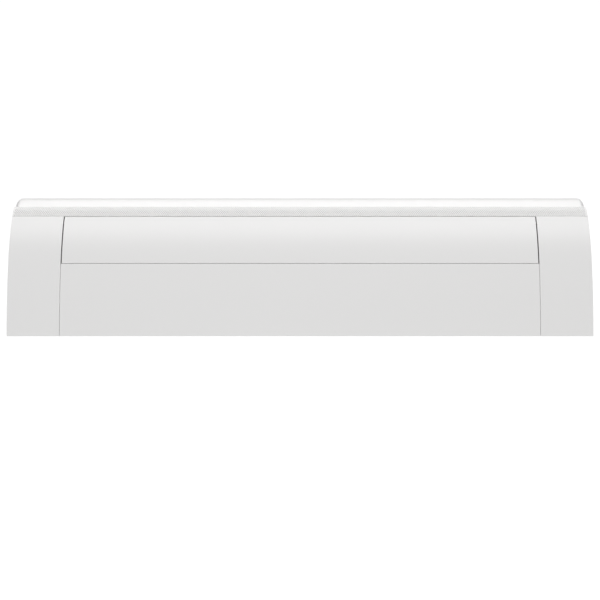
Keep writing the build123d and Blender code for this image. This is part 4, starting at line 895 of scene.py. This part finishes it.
def turned(section, centre, steps=72):
    """Points and faces of a closed X, radius line spun round an axis that runs along X."""
    angle = np.linspace(0, 2 * np.pi, steps, endpoint=False)
    x, radius = np.asarray(section).T
    points = np.empty((len(section), steps, 3))
    points[..., 0] = x[:, None]
    points[..., 1] = centre[0] + radius[:, None] * np.cos(angle)
    points[..., 2] = centre[1] + radius[:, None] * np.sin(angle)
    index = np.arange(points[..., 0].size).reshape(points.shape[:2])
    down, side = np.roll(index, -1, axis=0), np.roll(index, -1, axis=1)
    faces = np.stack([index, side, np.roll(down, -1, axis=1), down], axis=-1).reshape(-1, 4)
    return points.reshape(-1, 3), faces


def joined(name, parts):
    """One object from several sets of points and faces, each closed by itself."""
    points, faces, used = [], [], 0
    for part_points, part_faces in parts:
        points.append(part_points)
        faces += (np.asarray(part_faces) + used).tolist()
        used += len(part_points)
    return face_list_object(name, np.concatenate(points), faces)


t = np.linspace(0, 1, 7)
middle_radius = BLADE_INNER + (FAN_RADIUS - 0.4 * MM - BLADE_INNER) * t
middle_angle = BLADE_LEAN * t**1.6
half_wall = 0.25 * MM + 0.4 * MM * np.sin(np.pi * t)
outer_side = middle_angle + half_wall / middle_radius
inner_side = middle_angle - half_wall / middle_radius
blade_radius = np.concatenate([middle_radius, middle_radius[::-1]])
blade_angle = np.concatenate([outer_side, inner_side[::-1]])
bay_length = (fan_box[1][0] - fan_box[0][0]) / BAYS
bay, blade, end = np.meshgrid(np.arange(BAYS), np.arange(BLADES), [0, 1], indexing="ij")
blade_x = fan_box[0][0] + (bay + end) * bay_length + np.where(end == 0, 1, -1) * RING_WALL / 2
spin = 2 * np.pi * (blade + 0.5 * (bay % 2)) / BLADES + BLADE_SKEW * end
angle = spin[..., None] + blade_angle
blade_points = np.stack(
    [
        np.broadcast_to(blade_x[..., None], angle.shape),
        fan_centre[0] + blade_radius * np.cos(angle),
        fan_centre[1] + blade_radius * np.sin(angle),
    ],
    axis=-1,
)
ring = np.arange(14)
after = (ring + 1) % 14
sides = np.stack([ring, after, after + 14, ring + 14], axis=-1)
across = np.array([[i, i + 1, 12 - i, 13 - i] for i in range(6)])
one_blade = np.concatenate([sides, across, across + 14])
blade_faces = one_blade[None] + 28 * np.arange(BAYS * BLADES)[:, None, None]
fan_parts = [(blade_points.reshape(-1, 3), blade_faces.reshape(-1, 4))]
for number in range(1, BAYS):
    x = fan_box[0][0] + number * bay_length
    ring_section = [
        [x - RING_WALL / 2, BLADE_INNER - 1 * MM],
        [x + RING_WALL / 2, BLADE_INNER - 1 * MM],
        [x + RING_WALL / 2, FAN_RADIUS],
        [x - RING_WALL / 2, FAN_RADIUS],
    ]
    fan_parts.append(turned(ring_section, fan_centre))
for x, inward in ((fan_box[0][0], 1), (fan_box[1][0], -1)):
    end_section = np.array(
        [
            [0, BORE],
            [0, FAN_RADIUS],
            [RING_WALL, FAN_RADIUS],
            [RING_WALL, HUB_RADIUS + 2 * MM],
            [RING_WALL + 2 * MM, HUB_RADIUS],
            [HUB_LENGTH, HUB_RADIUS - 1 * MM],
            [HUB_LENGTH, BORE],
        ]
    )
    end_section[:, 0] = x + inward * end_section[:, 0]
    fan_parts.append(turned(end_section, fan_centre))
drum = joined("drum_fan", fan_parts)
drum.data.set_sharp_from_angle(angle=np.radians(35))
stand_in(drum, "fan", "fan_plastic", "fan_rotor")

# %% [markdown]
# ## Fins of the coil
#
# A real coil has a fin every two or three millimetres, far too thin to make one by one in the
# solid model.  Here a fin is a foil with shallow folds: its two faces follow the same zigzag in
# X, a fraction of a millimetre apart, and one array repeats it along the tubes.

# %% Coil fins
fins_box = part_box("coil_fins")
FIN_PITCH, FOIL, FOLD = 2.6 * MM, 0.22 * MM, 0.45 * MM
fin_y = np.linspace(fins_box[0][1], fins_box[1][1], 33)
zigzag = FOLD * (np.abs((np.arange(33) % 4) - 2) - 1)
fin_count = int((fins_box[1][0] - fins_box[0][0] - 2 * FOLD) / FIN_PITCH)
fin_x = (np.arange(fin_count) - (fin_count - 1) / 2) * FIN_PITCH
outline_x = np.concatenate([zigzag + FOIL / 2, zigzag[::-1] - FOIL / 2])
outline_y = np.concatenate([fin_y, fin_y[::-1]])
fin_points = np.empty((fin_count, 2, 66, 3))
fin_points[..., 0] = fin_x[:, None, None] + outline_x
fin_points[..., 1] = outline_y
fin_points[..., 2] = np.array([fins_box[0][2], fins_box[1][2]])[None, :, None]
ring = np.arange(66)
after = (ring + 1) % 66
sides = np.stack([ring, after, after + 66, ring + 66], axis=-1)
across = np.array([[i, i + 1, 64 - i, 65 - i] for i in range(32)])
one_fin = np.concatenate([sides, across, across + 66])
fin_faces = (one_fin[None] + 132 * np.arange(fin_count)[:, None, None]).reshape(-1, 4)
fins = joined("folded_fins", [(fin_points.reshape(-1, 3), fin_faces)])
fins.data.set_sharp_from_angle(angle=np.radians(20))
stand_in(fins, "casing", "fin_aluminium", "coil_fins")

# %% [markdown]
# ## Filter net
#
# The filter is a moulded net in a frame.  Its threads are long thin bars in two layers, one
# along X and one along Y, close enough together to stop lint.  Each layer is one array of boxes.

# %% Filter net
net_box = np.array(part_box("filter_mesh"))
NET_PITCH, THREAD = 1.8 * MM, 0.36 * MM
corners = np.array([[x, y, z] for x in (0, 1) for y in (0, 1) for z in (0, 1)], float)
box_faces = np.array(
    [[0, 1, 3, 2], [4, 6, 7, 5], [0, 4, 5, 1], [2, 3, 7, 6], [0, 2, 6, 4], [1, 5, 7, 3]]
)


def bars(lows, highs):
    """Points and faces of many boxes, from arrays of their lowest and highest corners."""
    points = lows[:, None] + (highs - lows)[:, None] * corners
    numbers = box_faces[None] + 8 * np.arange(len(lows))[:, None, None]
    return points.reshape(-1, 3), numbers.reshape(-1, 4)


net_parts = []
for axis, low_z, high_z in ((0, 0.0, 0.6), (1, 0.4, 1.0)):
    places = np.arange(net_box[0][axis] + NET_PITCH, net_box[1][axis] - NET_PITCH, NET_PITCH)
    lows = np.repeat(net_box[:1], len(places), axis=0)
    highs = np.repeat(net_box[1:], len(places), axis=0)
    lows[:, axis], highs[:, axis] = places - THREAD / 2, places + THREAD / 2
    depth = net_box[1][2] - net_box[0][2]
    lows[:, 2] = net_box[0][2] + low_z * depth
    highs[:, 2] = net_box[0][2] + high_z * depth
    net_parts.append(bars(lows, highs))
net = joined("filter_net", net_parts)
stand_in(net, "intake_door", "filter_cloth", "filter_mesh")

# %% One more import
import json
